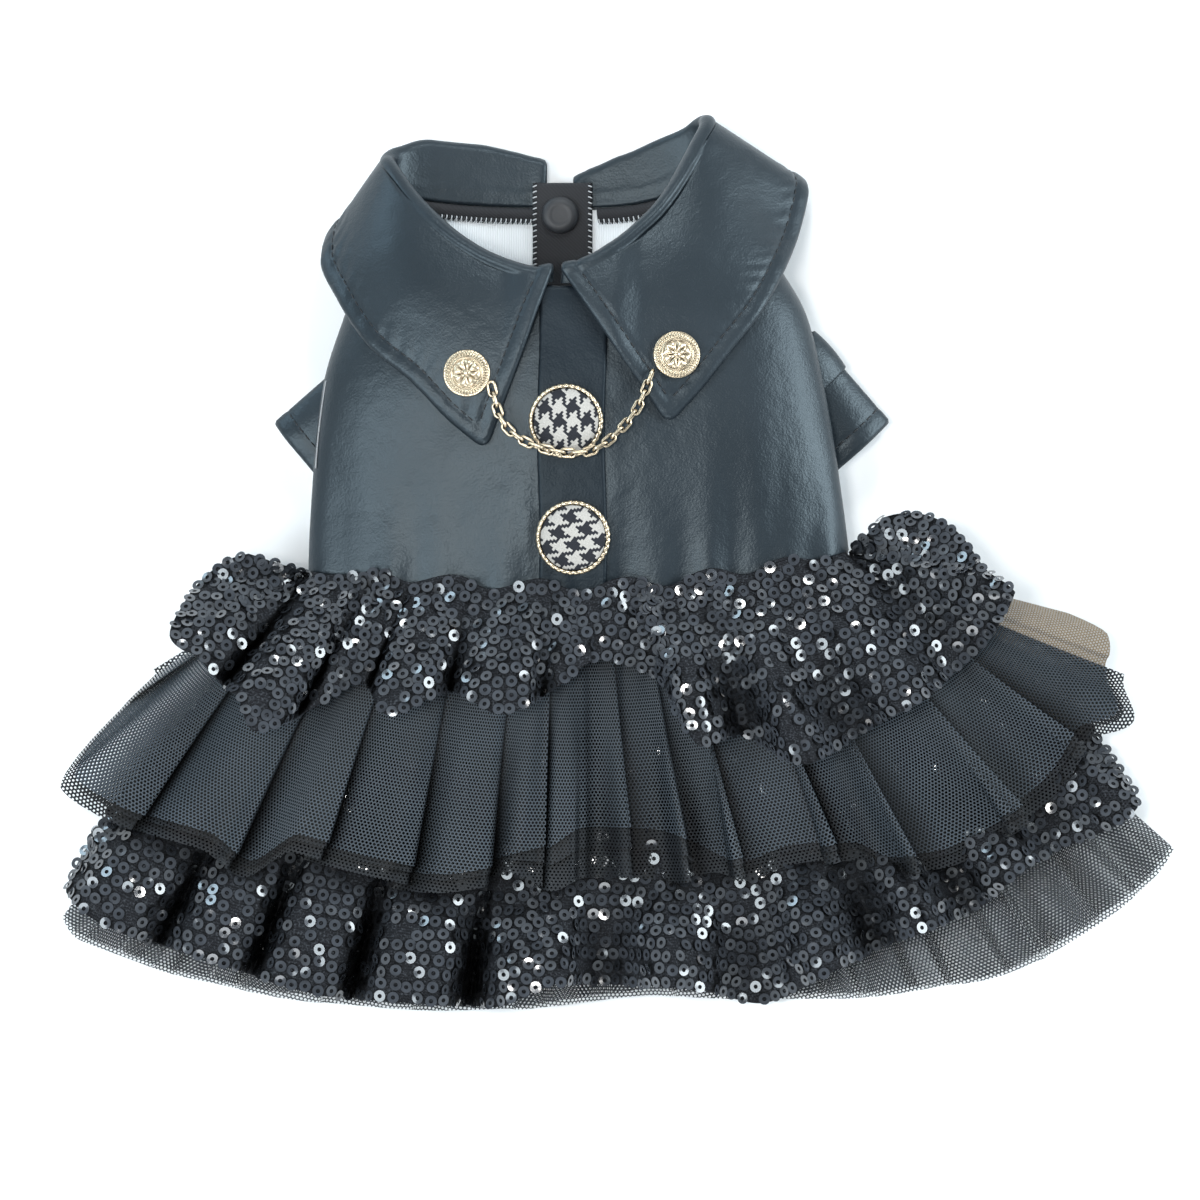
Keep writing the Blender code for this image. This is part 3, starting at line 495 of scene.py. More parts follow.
def diagonal_wave(tree, scale):
    """Diagonal lines over the piece, as a number between 0 and 1."""
    return add_node(tree, "ShaderNodeTexWave", {"Scale": scale, "Vector": object_place(tree)}, "Fac",
                    bands_direction="DIAGONAL")


def twisted_thread(name, color, roughness):
    """Sewing thread with a diagonal twist."""
    material, tree, shader = new_material(name)
    twist = bump(tree, diagonal_wave(tree, 900), 0.5, 0.0001)
    fill(tree, shader, {"Base Color": color, "Roughness": roughness, "Normal": twist})
    return material


thread = twisted_thread("black_thread", (0.010, 0.011, 0.013), 0.5)
pale_thread = twisted_thread("pale_thread", (0.45, 0.46, 0.47), 0.7)


def hump(distance, width):
    """A bell that is 1 at a distance of 0 and falls off to both sides."""
    return np.exp(-(distance / width) ** 2)


def along_path(path):
    """Length run along a path at each of its points."""
    return np.concatenate([[0.0], np.cumsum(np.linalg.norm(np.diff(path, axis=0), axis=-1))])


def at_places(values, travelled, places):
    """Points or directions of a path, read at places along it."""
    return np.stack([np.interp(places, travelled, values[:, axis]) for axis in range(3)], -1)


def circles(turn, first, second):
    """Directions round many circles, each turned from a first to a second direction."""
    return first[:, None] * np.cos(turn)[None, :, None] + second[:, None] * np.sin(turn)[None, :, None]


def ring_faces(rings, sides, count):
    """Quads between the rings of points of many like pieces."""
    ring, corner = np.indices((rings - 1, sides)).reshape(2, -1)
    low = ring * sides
    high = low + sides
    beside = (corner + 1) % sides
    quads = np.stack([low + corner, low + beside, high + beside, high + corner], -1)
    return (quads[None] + (np.arange(count) * rings * sides)[:, None, None]).reshape(-1, 4)


def thread_bars(name, starts, ends, normals, wire, material):
    """Make short bars of thread from point to point, bowed a little outward, as one piece."""
    run = ends - starts
    forward = run / np.linalg.norm(run, axis=-1, keepdims=True)
    side = np.cross(normals, forward)
    side /= np.linalg.norm(side, axis=-1, keepdims=True)
    upward = np.cross(forward, side)
    sides = 6
    around_wire = circles(2 * math.pi * np.arange(sides) / sides, side, upward)
    # (share of the length, share of the wire's radius, share of the bow)
    rings = ((0.0, 0.35, -0.9), (0.08, 0.85, -0.1), (0.3, 1.0, 0.55),
             (0.7, 1.0, 0.55), (0.92, 0.85, -0.1), (1.0, 0.35, -0.9))
    layers = []
    for share, thick, bow in rings:
        middle = starts + run * share + upward * (wire / 2 * bow)
        layers.append(middle[:, None] + wire / 2 * thick * around_wire)
    points = np.stack(layers, 1).reshape(-1, 3)
    return new_piece(name, points, ring_faces(len(rings), sides, len(starts)), [material])


def stitch_row(name, path, normals, stitch, spacing, lift):
    """Sew a row of black stitches along a path."""
    path = path + normals * lift
    travelled = along_path(path)
    begins = np.arange(spacing * 0.5, travelled[-1] - stitch, spacing)
    sewn = thread_bars(name, at_places(path, travelled, begins), at_places(path, travelled, begins + stitch),
                       at_places(normals, travelled, begins + stitch / 2), STITCH_WIRE, thread)


def sleeve_tube(row, share, wide, high):
    """Points round a sleeve at shares of its length, at distances beside and above its axis."""
    root, tip, _, across, upward = (np.array(value) for value in sleeve_frame(row))
    return root + (tip - root) * share[..., None] + across * wide[..., None] + upward * high[..., None]


half_width = (SLEEVE_WIDTH - LEATHER) / 2
half_height = (SLEEVE_HEIGHT - LEATHER) / 2
for row in SLEEVES:
    _, _, axis, across, upward = sleeve_frame(row)
    turn = np.linspace(0, 2 * math.pi, 88, endpoint=False)[:, None]
    share = np.linspace(0, 1, 44)[None, :]
    ripple = 1 + 0.10 * np.sin(5 * turn + 4 * share) * share
    sleeve_points = sleeve_tube(row, share, half_width * np.cos(turn), half_height * ripple * np.sin(turn))
    if np.linalg.det(np.array([across, upward, axis])) < 0:
        sleeve_points = sleeve_points[::-1]
    _, along_run = run_lengths(sleeve_points)
    to_hem = along_run[:, -1:] - along_run
    sleeve_half = LEATHER / 2 * np.where(to_hem < SLEEVE_HEM, 1.25, 1.0)
    sleeve_half = sleeve_half * np.sqrt(np.maximum(1 - np.clip(1 - to_hem / EDGE_RADIUS, 0, 1) ** 2, 0.02))
    sleeve_half = sleeve_half * (1 - 0.45 * hump(to_hem - HEM_STITCH_INSET, 0.0006))
    sleeve = leather_piece("sleeve_leather_" + row[0], sleeve_points, sleeve_half, leather, lining, closed=True)
    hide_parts("sleeve_" + row[0])
    sleeve_normals = grid_normals(sleeve_points, True)
    hem_row = int(np.argmin(np.abs(to_hem[0] - HEM_STITCH_INSET)))
    around = np.append(np.arange(len(sleeve_points)), 0)
    stitch_row("sleeve_hem_thread_" + row[0], sleeve_points[around, hem_row], sleeve_normals[around, hem_row],
               0.0024, 0.0031, LEATHER / 2)

turn = np.radians(np.linspace(-35, 118, 70))[:, None]
share = np.linspace(0.10, 0.47, 50)[None, :]
fold_rise = 1.0 + 0.9 * np.sin(math.pi * np.linspace(0, 1, 50))[None, :] ** 0.8
outer_side = -1.0 if sleeve_frame(SLEEVES[1])[3].x < 0 else 1.0
fold_points = sleeve_tube(SLEEVES[1], share,
                          outer_side * (half_width + 0.0008 * fold_rise) * np.cos(turn),
                          (half_height + 0.0009 * fold_rise) * np.sin(turn))
fold_half = rounded(fold_points, LEATHER * 0.9, 0.0006)
if grid_normals(fold_points)[35, 25, 2] < 0:
    fold_points = fold_points[::-1]
sleeve_fold = leather_piece("sleeve_head_fold", fold_points, fold_half, leather, leather)

edge_angle = np.full(120, 172.5)
edge_y = np.linspace(0.2680, 0.4900, 120) * BACK_LENGTH
edge_line = body_point(edge_angle, edge_y)
edge_out = np.tile([-0.5, 0.0, 0.87], (120, 1))
edge_line = edge_line + edge_out * (LEATHER / 2 + 0.0002)
cut_edge = thread_bars("raw_cut_edge", edge_line[:-1], edge_line[1:], edge_out[:-1], 0.00055, pale_thread)


# Placket
# A strip of leather, turned in at both long edges, runs down the middle of the back and is sewn on
# under the two cloth buttons.

PLACKET_WIDTH = 0.0215
PLACKET_THICKNESS = 0.0014
placket_u = np.linspace(-0.5, 0.5, 36)[:, None]
placket_v = np.linspace(0, 1, 130)[None, :]
placket_y = BACK_LENGTH * (WAIST_MIDDLE + (NECK_BACK - WAIST_MIDDLE) * placket_v)
placket_wander = 0.0004 * np.sin(placket_v * 9)
placket_x = PLACKET_WIDTH * placket_u + placket_wander
placket_x, placket_y = np.broadcast_arrays(placket_x, placket_y)
placket_z = back_height(placket_x, placket_y) + LEATHER / 2 + GAP + PLACKET_THICKNESS / 2
placket_points = np.stack([placket_x, placket_y, placket_z], -1)
placket_half = rounded(placket_points, PLACKET_THICKNESS, 0.0009)
placket_waves = drift(placket_x, placket_y, 0.02, 11) * 0.00018
placket_tucks = drift(placket_x, placket_y * 0.1, 0.006, 12) * np.exp(-(placket_y + 0.0076) / 0.012) * 0.0004
# The placket gets its own copy of the leather that reflects less: painted shade for the strip lying low between the
# collar halves.
placket_shaded_leather = leather.copy()
placket_shaded_leather.name = "placket_leather_painted_shade"
placket_shaded_leather.node_tree.nodes["Principled BSDF"].inputs["Specular IOR Level"].default_value = 0.18
placket = leather_piece("placket_leather", placket_points, placket_half, placket_shaded_leather, placket_shaded_leather,
                        shift=placket_waves + placket_tucks)
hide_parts("placket")


# Collar
# The pointed collar is two halves of doubled leather, each with a low stand, a soft roll and a wide
# fall. The turned edge is puffy and topstitched 5 mm in from the outer edge and the point.

STAND_HEIGHT = 0.016
ROLL_RADIUS = 0.0019
COLLAR_THICKNESS = 0.0016
COLLAR_OVERHANG = 0.009
COLLAR_STITCH_INSET = 0.0052
COLLAR_CORNER = 0.0042
COLLAR_STITCH = 0.0023
STAND_STITCH = 0.0021
COLLAR_STITCH_SPACING = 0.0030

# (angle, roll_out, roll_forward, edge_x, edge_y, edge_z, follow)
COLLAR_LEFT = (
    (85.0, 0.00, 0.39, 0.318, 0.305, 0.00, 1.0),
    (77.0, -0.09, 0.25, 0.450, 0.378, 0.00, 1.0),
    (69.0, -0.09, 0.27, 0.600, 0.484, 0.00, 1.0),
    (58.5, -0.11, 0.31, 0.755, 0.573, 0.00, 1.0),
    (42.0, -0.12, 0.41, 0.868, 0.688, 0.42, 0.85),
    (24.5, -0.12, 0.49, 0.940, 0.800, 0.36, 0.4),
    (0.0, 0.00, 0.73, 0.915, 0.880, 0.24, 0.0),
    (-25.0, 0.05, 1.04, 0.807, 0.908, 0.09, 0.0),
    (-42.0, 0.05, 1.26, 0.644, 0.844, 0.035, 0.0),
    (-60.0, 0.05, 1.25, 0.412, 0.820, 0.028, 0.0),
    (-73.0, 0.03, 1.12, 0.237, 0.805, 0.028, 0.0),
    (-82.0, 0.00, 0.96, 0.109, 0.790, 0.028, 0.0),
)
COLLAR_RIGHT = (
    (93.0, 0.02, 0.41, 0.354, 0.369, 0.00, 1.0),
    (86.0, -0.10, 0.50, 0.472, 0.457, 0.00, 1.0),
    (78.0, -0.18, 0.66, 0.588, 0.559, 0.00, 1.0),
    (66.0, -0.24, 0.88, 0.706, 0.662, 0.00, 1.0),
    (52.0, -0.27, 1.00, 0.785, 0.762, 0.40, 0.9),
    (34.0, -0.20, 0.93, 0.845, 0.866, 0.36, 0.5),
    (10.0, -0.12, 0.80, 0.882, 0.980, 0.26, 0.1),
    (-25.0, -0.24, 0.94, 0.835, 1.020, 0.09, 0.0),
    (-52.0, -0.22, 1.13, 0.518, 0.876, 0.035, 0.0),
    (-70.0, -0.14, 1.02, 0.309, 0.829, 0.028, 0.0),
    (-82.0, -0.09, 0.80, 0.123, 0.781, 0.028, 0.0),
    (-89.0, -0.04, 0.62, 0.018, 0.765, 0.028, 0.0),
)


def over_placket(x):
    """Extra height of a piece that passes over the placket."""
    beyond = (np.abs(x) - PLACKET_WIDTH / 2) / (PLACKET_WIDTH / 2)
    return (2 * GAP + PLACKET_THICKNESS) * (1 - ease(beyond - 0.15))


def collar_grid(table, side, columns):
    """Points of a collar half: along the neck, and from the neck edge over the roll to the outer edge."""
    numbered = [(index, *row) for index, row in enumerate(table)]
    spot = np.linspace(0, len(table) - 1, columns)
    angle, roll_out, roll_forward, edge_x, edge_y, edge_z, follow = (
        read(numbered, spot, column) for column in range(1, 8))
    angle = np.interp(spot, np.arange(len(table)), [row[0] for row in table])
    around = angle if side > 0 else 180 - angle
    neck = body_point(around, neck_edge(around))
    beside = body_point(around + 1, neck_edge(around + 1)) - body_point(around - 1, neck_edge(around - 1))
    crossing = np.sqrt(1 - (beside[:, 1] / np.linalg.norm(beside, axis=-1)) ** 2)
    outward = np.stack([side * np.cos(np.radians(angle)), 0 * angle, np.sin(np.radians(angle))], -1)
    forward = np.array([0.0, 1.0, 0.0])
    centre = np.stack([neck[:, 0] + side * roll_out * STAND_HEIGHT,
                       neck[:, 1] + roll_forward * STAND_HEIGHT - ROLL_RADIUS,
                       neck[:, 2] + outward[:, 2] * ROLL_RADIUS], -1)
    foot = neck + forward * (GAP * 2.6 / crossing)[:, None]
    stand_top = centre - outward * ROLL_RADIUS
    stand = foot[:, None] + (stand_top - foot)[:, None] * np.linspace(0, 1, 14, endpoint=False)[None, :, None]
    turn = np.linspace(0, math.pi, 16)[None, :, None]
    roll = (centre[:, None] - outward[:, None] * ROLL_RADIUS * np.cos(turn)
            + forward * ROLL_RADIUS * np.sin(turn))
    start = roll[:, -1]
    edge = np.stack([side * CHEST_HALF * edge_x, BACK_LENGTH * edge_y, BODY_HEIGHT * edge_z], -1)
    t = np.linspace(0, 1, 52)[None, 1:]
    x = start[:, :1] + (edge[:, :1] - start[:, :1]) * t
    y = start[:, 1:2] + (edge[:, 1:2] - start[:, 1:2]) * t
    resting = LEATHER / 2 + COLLAR_THICKNESS / 2 + 2 * GAP
    lying = back_height(x, y, COLLAR_OVERHANG) + resting + over_placket(x)
    hanging = start[:, 2:3] + (edge[:, 2:3] - start[:, 2:3]) * t ** 1.3
    arch = 0.0016 * np.sin(math.pi * np.clip(t * 1.15, 0, 1)) * ease(follow)[:, None]
    z = hanging + (lying - hanging) * follow[:, None] + arch
    return np.concatenate([stand, roll, np.stack([x, y, z], -1)], 1)


def path_on(points, normals, columns, rows):
    """Points and normals of a grid at fractional columns and rows."""
    low_column = np.clip(columns.astype(int), 0, points.shape[0] - 2)
    low_row = np.clip(rows.astype(int), 0, points.shape[1] - 2)
    u = (columns - low_column)[:, None]
    v = (rows - low_row)[:, None]

    def blend(values):
        near = values[low_column, low_row] * (1 - v) + values[low_column, low_row + 1] * v
        far = values[low_column + 1, low_row] * (1 - v) + values[low_column + 1, low_row + 1] * v
        return near * (1 - u) + far * u

    facing = blend(normals)
    return blend(points), facing / np.linalg.norm(facing, axis=-1, keepdims=True)


def round_corner(points, to_edge, to_end, end_first, radius):
    """Round off the corner of a grid between its outer edge and its first or last column."""
    columns, rows = points.shape[:2]
    column_step = np.abs(np.gradient(to_end, axis=0))
    row_step = np.abs(np.gradient(to_edge, axis=1))
    far = np.hypot(np.maximum(radius - to_end, 0), np.maximum(radius - to_edge, 0))
    pull = np.where((to_end < radius) & (to_edge < radius) & (far > 1e-9),
                    np.minimum(1, np.maximum(radius - to_end, radius - to_edge) / np.maximum(far, 1e-9)), 1.0)
    new_end = radius - (radius - to_end) * pull
    new_edge = radius - (radius - to_edge) * pull
    moved_columns = np.where(pull < 1, (new_end - to_end) / column_step, 0) * (1 if end_first else -1)
    moved_rows = np.where(pull < 1, -(new_edge - to_edge) / row_step, 0)
    index = np.indices((columns, rows)).astype(float)
    column_at = np.clip(index[0] + moved_columns, 0, columns - 1.001).ravel()
    row_at = np.clip(index[1] + moved_rows, 0, rows - 1.001).ravel()
    spots, _ = path_on(points, grid_normals(points), column_at, row_at)
    return spots.reshape(points.shape)


for name, table, side, node, seed in (("left", COLLAR_LEFT, -1, "collar_left", 21),
                                      ("right", COLLAR_RIGHT, 1, "collar_right", 22)):
    collar_points = collar_grid(table, side, 150)
    if side > 0:
        collar_points = collar_points[::-1]
    columns, rows = collar_points.shape[:2]
    column_order, row_order = np.arange(columns), np.arange(rows)
    across, along = run_lengths(collar_points)
    to_edge = along[:, -1:] - along
    from_back, from_point = across, across[-1:] - across
    if side < 0:
        from_back, from_point = from_point, from_back
    reach = np.minimum(np.minimum(to_edge, from_point), from_back)
    collar_points = round_corner(collar_points, to_edge, from_point, side < 0, COLLAR_CORNER)
    puff = 1 + 0.24 * hump(reach - 0.0026, 0.0020)
    groove = 1 - 0.42 * hump(np.minimum(to_edge, from_point) - COLLAR_STITCH_INSET, 0.0007)
    groove = groove * (1 + 0.35 * hump(along - 0.0045, 0.0006))
    share = np.clip(1 - reach / 0.0011, 0, 1)
    collar_half = COLLAR_THICKNESS / 2 * puff * groove * np.sqrt(np.maximum(1 - share ** 2, 0.03))
    fall_share = ease(along / along[:, -1:] * 1.6 - 0.35)
    x, y = collar_points[..., 0], collar_points[..., 1]
    wander = drift(x, y, 0.045, seed) * 0.0007
    pucker = np.sin(across / 0.0030 * math.pi + drift(x, y, 0.02, seed + 5))
    pucker = pucker * 0.00016 * hump(to_edge - 0.0068, 0.0045)
    collar_shift = (wander + pucker) * fall_share
    collar = leather_piece("collar_leather_" + name, collar_points, collar_half, leather, leather, shift=collar_shift)
    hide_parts(node)
    collar_normals = grid_normals(collar_points)
    shown = collar_points + collar_normals * (collar_shift + collar_half)[..., None]
    edge_rows = np.array([np.interp(-COLLAR_STITCH_INSET, -run, row_order) for run in to_edge])
    point_order = column_order[::-1] if side > 0 else column_order
    point_columns = np.array([np.interp(COLLAR_STITCH_INSET, np.sort(run), point_order) for run in from_point.T])
    sewn_columns = column_order[from_point[column_order, edge_rows.astype(int)] > COLLAR_STITCH_INSET]
    path, facing = path_on(shown, collar_normals, sewn_columns.astype(float), edge_rows[sewn_columns])
    stitch_row("collar_edge_thread_" + name, path, facing, COLLAR_STITCH, COLLAR_STITCH_SPACING, 0.00002)
    sewn_rows = np.arange(30, int(edge_rows[sewn_columns[-1] if side > 0 else sewn_columns[0]]))
    path, facing = path_on(shown, collar_normals, point_columns[sewn_rows], sewn_rows.astype(float))
    stitch_row("collar_point_thread_" + name, path, facing, COLLAR_STITCH, COLLAR_STITCH_SPACING, 0.00002)
    inner_face = collar_points + collar_normals * (collar_shift - collar_half)[..., None]
    far_columns = column_order[(from_back < from_back.max() * 0.55)[:, 0]].astype(float)
    path, facing = path_on(inner_face, -collar_normals, far_columns, np.full(len(far_columns), 3.2))
    stitch_row("collar_stand_thread_" + name, path, facing, STAND_STITCH, COLLAR_STITCH_SPACING, 0.00004)


# Closing strip and snap
# The belly closing is backed by a strip of black tape that shows inside the neck, with overlocked
# edges in black and white thread and a matte black snap cap at its top.

STRIP_WIDTH = 0.0192
STRIP_OFFSET = 0.0032
STRIP_THICKNESS = 0.0014
SNAP_WIDTH = 0.0120
SNAP_HEIGHT = 0.0024
SNAP_PLACE = 0.914
STRIP_START = 0.02
OVERLOCK_WIRE = 0.0005

tape, tree, shader = new_material("black_tape")
twill = diagonal_wave(tree, 520)
fill(tree, shader, {
    "Base Color": mix_colors(tree, twill, (0.008, 0.008, 0.010), (0.013, 0.013, 0.016)),
    "Roughness": 0.75,
    "Normal": bump(tree, twill, 0.25, 0.0001),
})

strip_run = BACK_LENGTH * (NECK_BELLY - STRIP_START) + 0.54 * STAND_HEIGHT
strip_x, strip_y = np.broadcast_arrays(
    STRIP_WIDTH * np.linspace(-0.5, 0.5, 30)[:, None] - STRIP_OFFSET,
    (BACK_LENGTH * STRIP_START + strip_run * np.linspace(0, 1, 160))[None, :],
)
strip_z = belly_height(strip_x, strip_y) + LEATHER / 2 + 2 * GAP + STRIP_THICKNESS / 2
strip_points = np.stack([strip_x, strip_y, strip_z], -1)
strip_half = rounded(strip_points, STRIP_THICKNESS, 0.0007)
strip = leather_piece("closing_tape", strip_points, strip_half, tape, tape)
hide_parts("closing_strip")


def overlock(name, path, normals, inward, depth, spacing):
    """Sew overlock thread bars across an edge, in turns of black and white."""
    travelled = along_path(path)
    places = np.arange(0.0004, travelled[-1], spacing)
    edge, facing, inside = (at_places(values, travelled, places) for values in (path, normals, inward))
    forward = np.gradient(edge, axis=0)
    forward /= np.linalg.norm(forward, axis=-1, keepdims=True)
    far = edge + inside * depth + forward * spacing * 0.6
    white = np.arange(len(places)) % 2 == 0
    for tag, chosen, material in (("white", white, pale_thread), ("black", ~white, thread)):
        bars = thread_bars(name + "_" + tag, edge[chosen], far[chosen], facing[chosen], OVERLOCK_WIRE, material)


for tag, column, direction in (("left", 0, 1.0), ("right", -1, -1.0)):
    edge_path = strip_points[column, 90:].copy()
    edge_path[:, 2] += STRIP_THICKNESS * 0.5
    count = len(edge_path)
    overlock("tape_overlock_" + tag, edge_path, np.tile([0.0, 0.0, 1.0], (count, 1)),
             np.tile([direction, 0.0, 0.0], (count, 1)), 0.0014, 0.0009)

for tag, start, end in (("left", -101, -172), ("right", -81, -10)):
    angle = np.linspace(start, end, 160)
    inner_normal = np.stack([-np.cos(np.radians(angle)), 0 * angle, -np.sin(np.radians(angle))], -1)
    band_rows = np.linspace(0, 1, 12)[None, :]
    band_y = neck_edge(angle)[:, None] + 0.0004 - 0.0046 * band_rows
    band = body_point(angle[:, None], band_y)
    band_arch = 0.0011 * np.sin(math.pi * band_rows ** 0.7)
    band = band + inner_normal[:, None] * (LEATHER / 2 + 0.0006 + band_arch)[..., None]
    band_half = rounded(band, 0.0008, 0.0005)
    neck_band = leather_piece("neck_seam_band_" + tag, band, band_half, tape, tape)
    seam = body_point(angle, neck_edge(angle) - 0.0030) + inner_normal * (LEATHER / 2 + 0.0016)
    overlock("neck_overlock_" + tag, seam, inner_normal, np.tile([0.0, -1.0, 0.0], (160, 1)), 0.0019, 0.0008)


def turned_piece(name, profile, sides, place, material):
    """Make a turned solid from a profile of radius and height, from its top centre to its bottom centre."""
    turn = 2 * math.pi * np.arange(sides) / sides
    ring = np.stack([np.cos(turn), np.sin(turn)], -1)
    points = [np.concatenate([radius * ring, np.full((sides, 1), height)], -1) for radius, height in profile[1:-1]]
    points = np.concatenate(points + [np.array([[0, 0, profile[0][1]], [0, 0, profile[-1][1]]])])
    layers = len(profile) - 2
    faces = []
    top, bottom = layers * sides, layers * sides + 1
    for corner in range(sides):
        beside = (corner + 1) % sides
        faces.append((top, corner, beside))
        for layer in range(layers - 1):
            base = layer * sides
            faces.append((base + corner, base + sides + corner, base + sides + beside, base + beside))
        faces.append((bottom, (layers - 1) * sides + beside, (layers - 1) * sides + corner))
    piece = new_piece(name, points + np.asarray(place), faces, [material])
    piece.data.set_sharp_from_angle(angle=math.radians(50))
    return piece


snap_black, tree, shader = new_material("matte_snap_plastic")
speck = noise(tree, object_place(tree), 1800)
fill(tree, shader, {"Base Color": (0.018, 0.019, 0.022), "Roughness": spread(tree, speck, 0.42, 0.58)})

snap_radius = SNAP_WIDTH / 2
snap_x = -STRIP_OFFSET - 0.0008
snap_y = BACK_LENGTH * SNAP_PLACE + 0.0010
snap_z = float(belly_height(snap_x, snap_y)) + LEATHER / 2 + 3 * GAP + STRIP_THICKNESS
snap_profile = [(0, SNAP_HEIGHT * 0.94)]
snap_profile += [(snap_radius * 0.50 * k / 4, SNAP_HEIGHT * (0.94 + 0.02 * k / 4)) for k in range(1, 5)]
snap_profile += [(snap_radius * (0.56 + 0.44 * math.sin(k * math.pi / 16)),
                  SNAP_HEIGHT * (0.30 + 0.70 * math.cos(k * math.pi / 16))) for k in range(0, 9)]
snap_profile += [(snap_radius * 0.97, 0.0), (0, 0)]
snap = turned_piece("snap_dome", snap_profile, 72, (snap_x, snap_y, snap_z), snap_black)
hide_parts("snap_cap")


# Cloth buttons
# Two 24 mm buttons are covered in black and off-white houndstooth wool, each held in a crimped gold
# rim like a twisted rope. They are sewn through the placket.

CLOTH_BUTTON_WIDTH = 0.0237
CLOTH_BUTTON_HEIGHT = 0.0046
RIM_WIRE = 0.0018
THREADS = 0.00078
RIM_CRIMPS = 36

# (name, x, y, weave turned by degrees)
CLOTH_BUTTONS = (("upper", -0.022, 0.381, 38.0), ("lower", 0.004, 0.089, -52.0))


def back_tilt(x, y, overhang=0.0):
    """Rotation and normal that lay a button on the back at a point in plan."""
    step = 0.002
    slope_x = (back_height(x + step, y, overhang) - back_height(x - step, y, overhang)) / (2 * step)
    slope_y = (back_height(x, y + step, overhang) - back_height(x, y - step, overhang)) / (2 * step)
    normal = Vector((-float(slope_x), -float(slope_y), 1.0)).normalized()
    return normal.to_track_quat("Z", "Y"), normal


def new_group(name, inputs, output):
    """Make a node group with its sockets, and give back the group, what it is given and its output node."""
    group = bpy.data.node_groups.new(name, "ShaderNodeTree")
    for label, kind in inputs.items():
        group.interface.new_socket(label, in_out="INPUT", socket_type="NodeSocket" + kind)
    group.interface.new_socket(output[0], in_out="OUTPUT", socket_type="NodeSocket" + output[1])
    return group, add_node(group, "NodeGroupInput").outputs, add_node(group, "NodeGroupOutput")


def build_painted_shade_group():
    """Painted shade: colour darkened by ambient occlusion in folds and crevices, where little light gets in."""
    group, given, result = new_group("painted_shade_in_nooks", {"Color": "Color", "Depth": "Float", "Power": "Float"},
                                     ("Color", "Color"))
    opening = add_node(group, "ShaderNodeAmbientOcclusion", {"Distance": given["Depth"]}, "AO", samples=6)
    light = add_node(group, "ShaderNodeMath", {0: opening, 1: given["Power"]}, "Value", operation="POWER")
    shade = add_node(group, "ShaderNodeMix", {"Factor": 1.0, "A": given["Color"], "B": light}, "Result",
                     data_type="RGBA", blend_type="MULTIPLY")
    fill(group, result, {"Color": shade})
    return group


painted_shade_group = build_painted_shade_group()


def paint_shade_in_nooks(tree, color, depth, power):
    """A colour led through the group that paints shade into folds and crevices."""
    return add_node(tree, "ShaderNodeGroup", {"Color": color, "Depth": depth, "Power": power}, "Color",
                    node_tree=painted_shade_group)


gold, tree, shader = new_material("pale_gold_plate")
tarnish = noise(tree, object_place(tree), 420, 5)
plate = mix_colors(tree, tarnish, (0.54, 0.42, 0.28), (0.76, 0.65, 0.48))
fill(tree, shader, {
    # Painted shade from the occlusion group darkens the recesses of the relief, which also gives the plate an aged
    # look in its hollows.
    "Base Color": paint_shade_in_nooks(tree, plate, 0.0010, 2.2),
    "Metallic": 1.0,
    "Roughness": spread(tree, tarnish, 0.24, 0.42),
})


def cloth_place(tree):
    """Places on the flat cloth, in metres."""
    return add_node(tree, "ShaderNodeUVMap", output="UV", uv_map="cloth")


def calculate(tree, kind, *values):
    """One step of arithmetic on numbers."""
    return add_node(tree, "ShaderNodeMath", dict(enumerate(values)), "Value", operation=kind)


def houndstooth_material(name, turned_by):
    """Wool woven four light and four dark threads each way in a two-over, two-under twill."""
    material, tree, shader = new_material(name)
    cloth = cloth_place(tree)
    turned = add_node(tree, "ShaderNodeVectorRotate", {"Vector": cloth, "Angle": math.radians(turned_by)}, "Vector",
                      rotation_type="Z_AXIS")
    split = add_node(tree, "ShaderNodeSeparateXYZ", {"Vector": turned}).outputs
    runs = [calculate(tree, "DIVIDE", split[axis], THREADS) for axis in ("X", "Y")]
    threads = [calculate(tree, "FLOOR", run) for run in runs]
    fours = [calculate(tree, "FLOOR", calculate(tree, "DIVIDE", number, 4.0)) for number in threads]
    warp_dark, weft_dark = (calculate(tree, "FLOORED_MODULO", four, 2.0) for four in fours)
    warp_ridge, weft_ridge = (calculate(tree, "PINGPONG", run, 0.5) for run in runs)
    step = calculate(tree, "FLOORED_MODULO", calculate(tree, "ADD", *threads), 4.0)
    over = calculate(tree, "LESS_THAN", step, 1.5)
    dark, ridge = (
        add_node(tree, "ShaderNodeMix", {"Factor": over, "A": weft, "B": warp}, "Result", data_type="FLOAT")
        for weft, warp in ((weft_dark, warp_dark), (weft_ridge, warp_ridge))
    )
    wool = noise(tree, cloth, 2600, 4)
    light = mix_colors(tree, wool, (0.25, 0.235, 0.215), (0.58, 0.55, 0.51))
    height = calculate(tree, "ADD", ridge, calculate(tree, "MULTIPLY", wool, 0.6))
    fill(tree, shader, {
        "Base Color": mix_colors(tree, dark, light, (0.010, 0.011, 0.016)),
        "Roughness": 0.9,
        "Normal": bump(tree, height, 0.8, 0.0002),
    })
    return material


def lay(points, rotation, place):
    """Turn points by a rotation and move them to their place."""
    return points @ np.array(rotation.to_matrix()).T + place


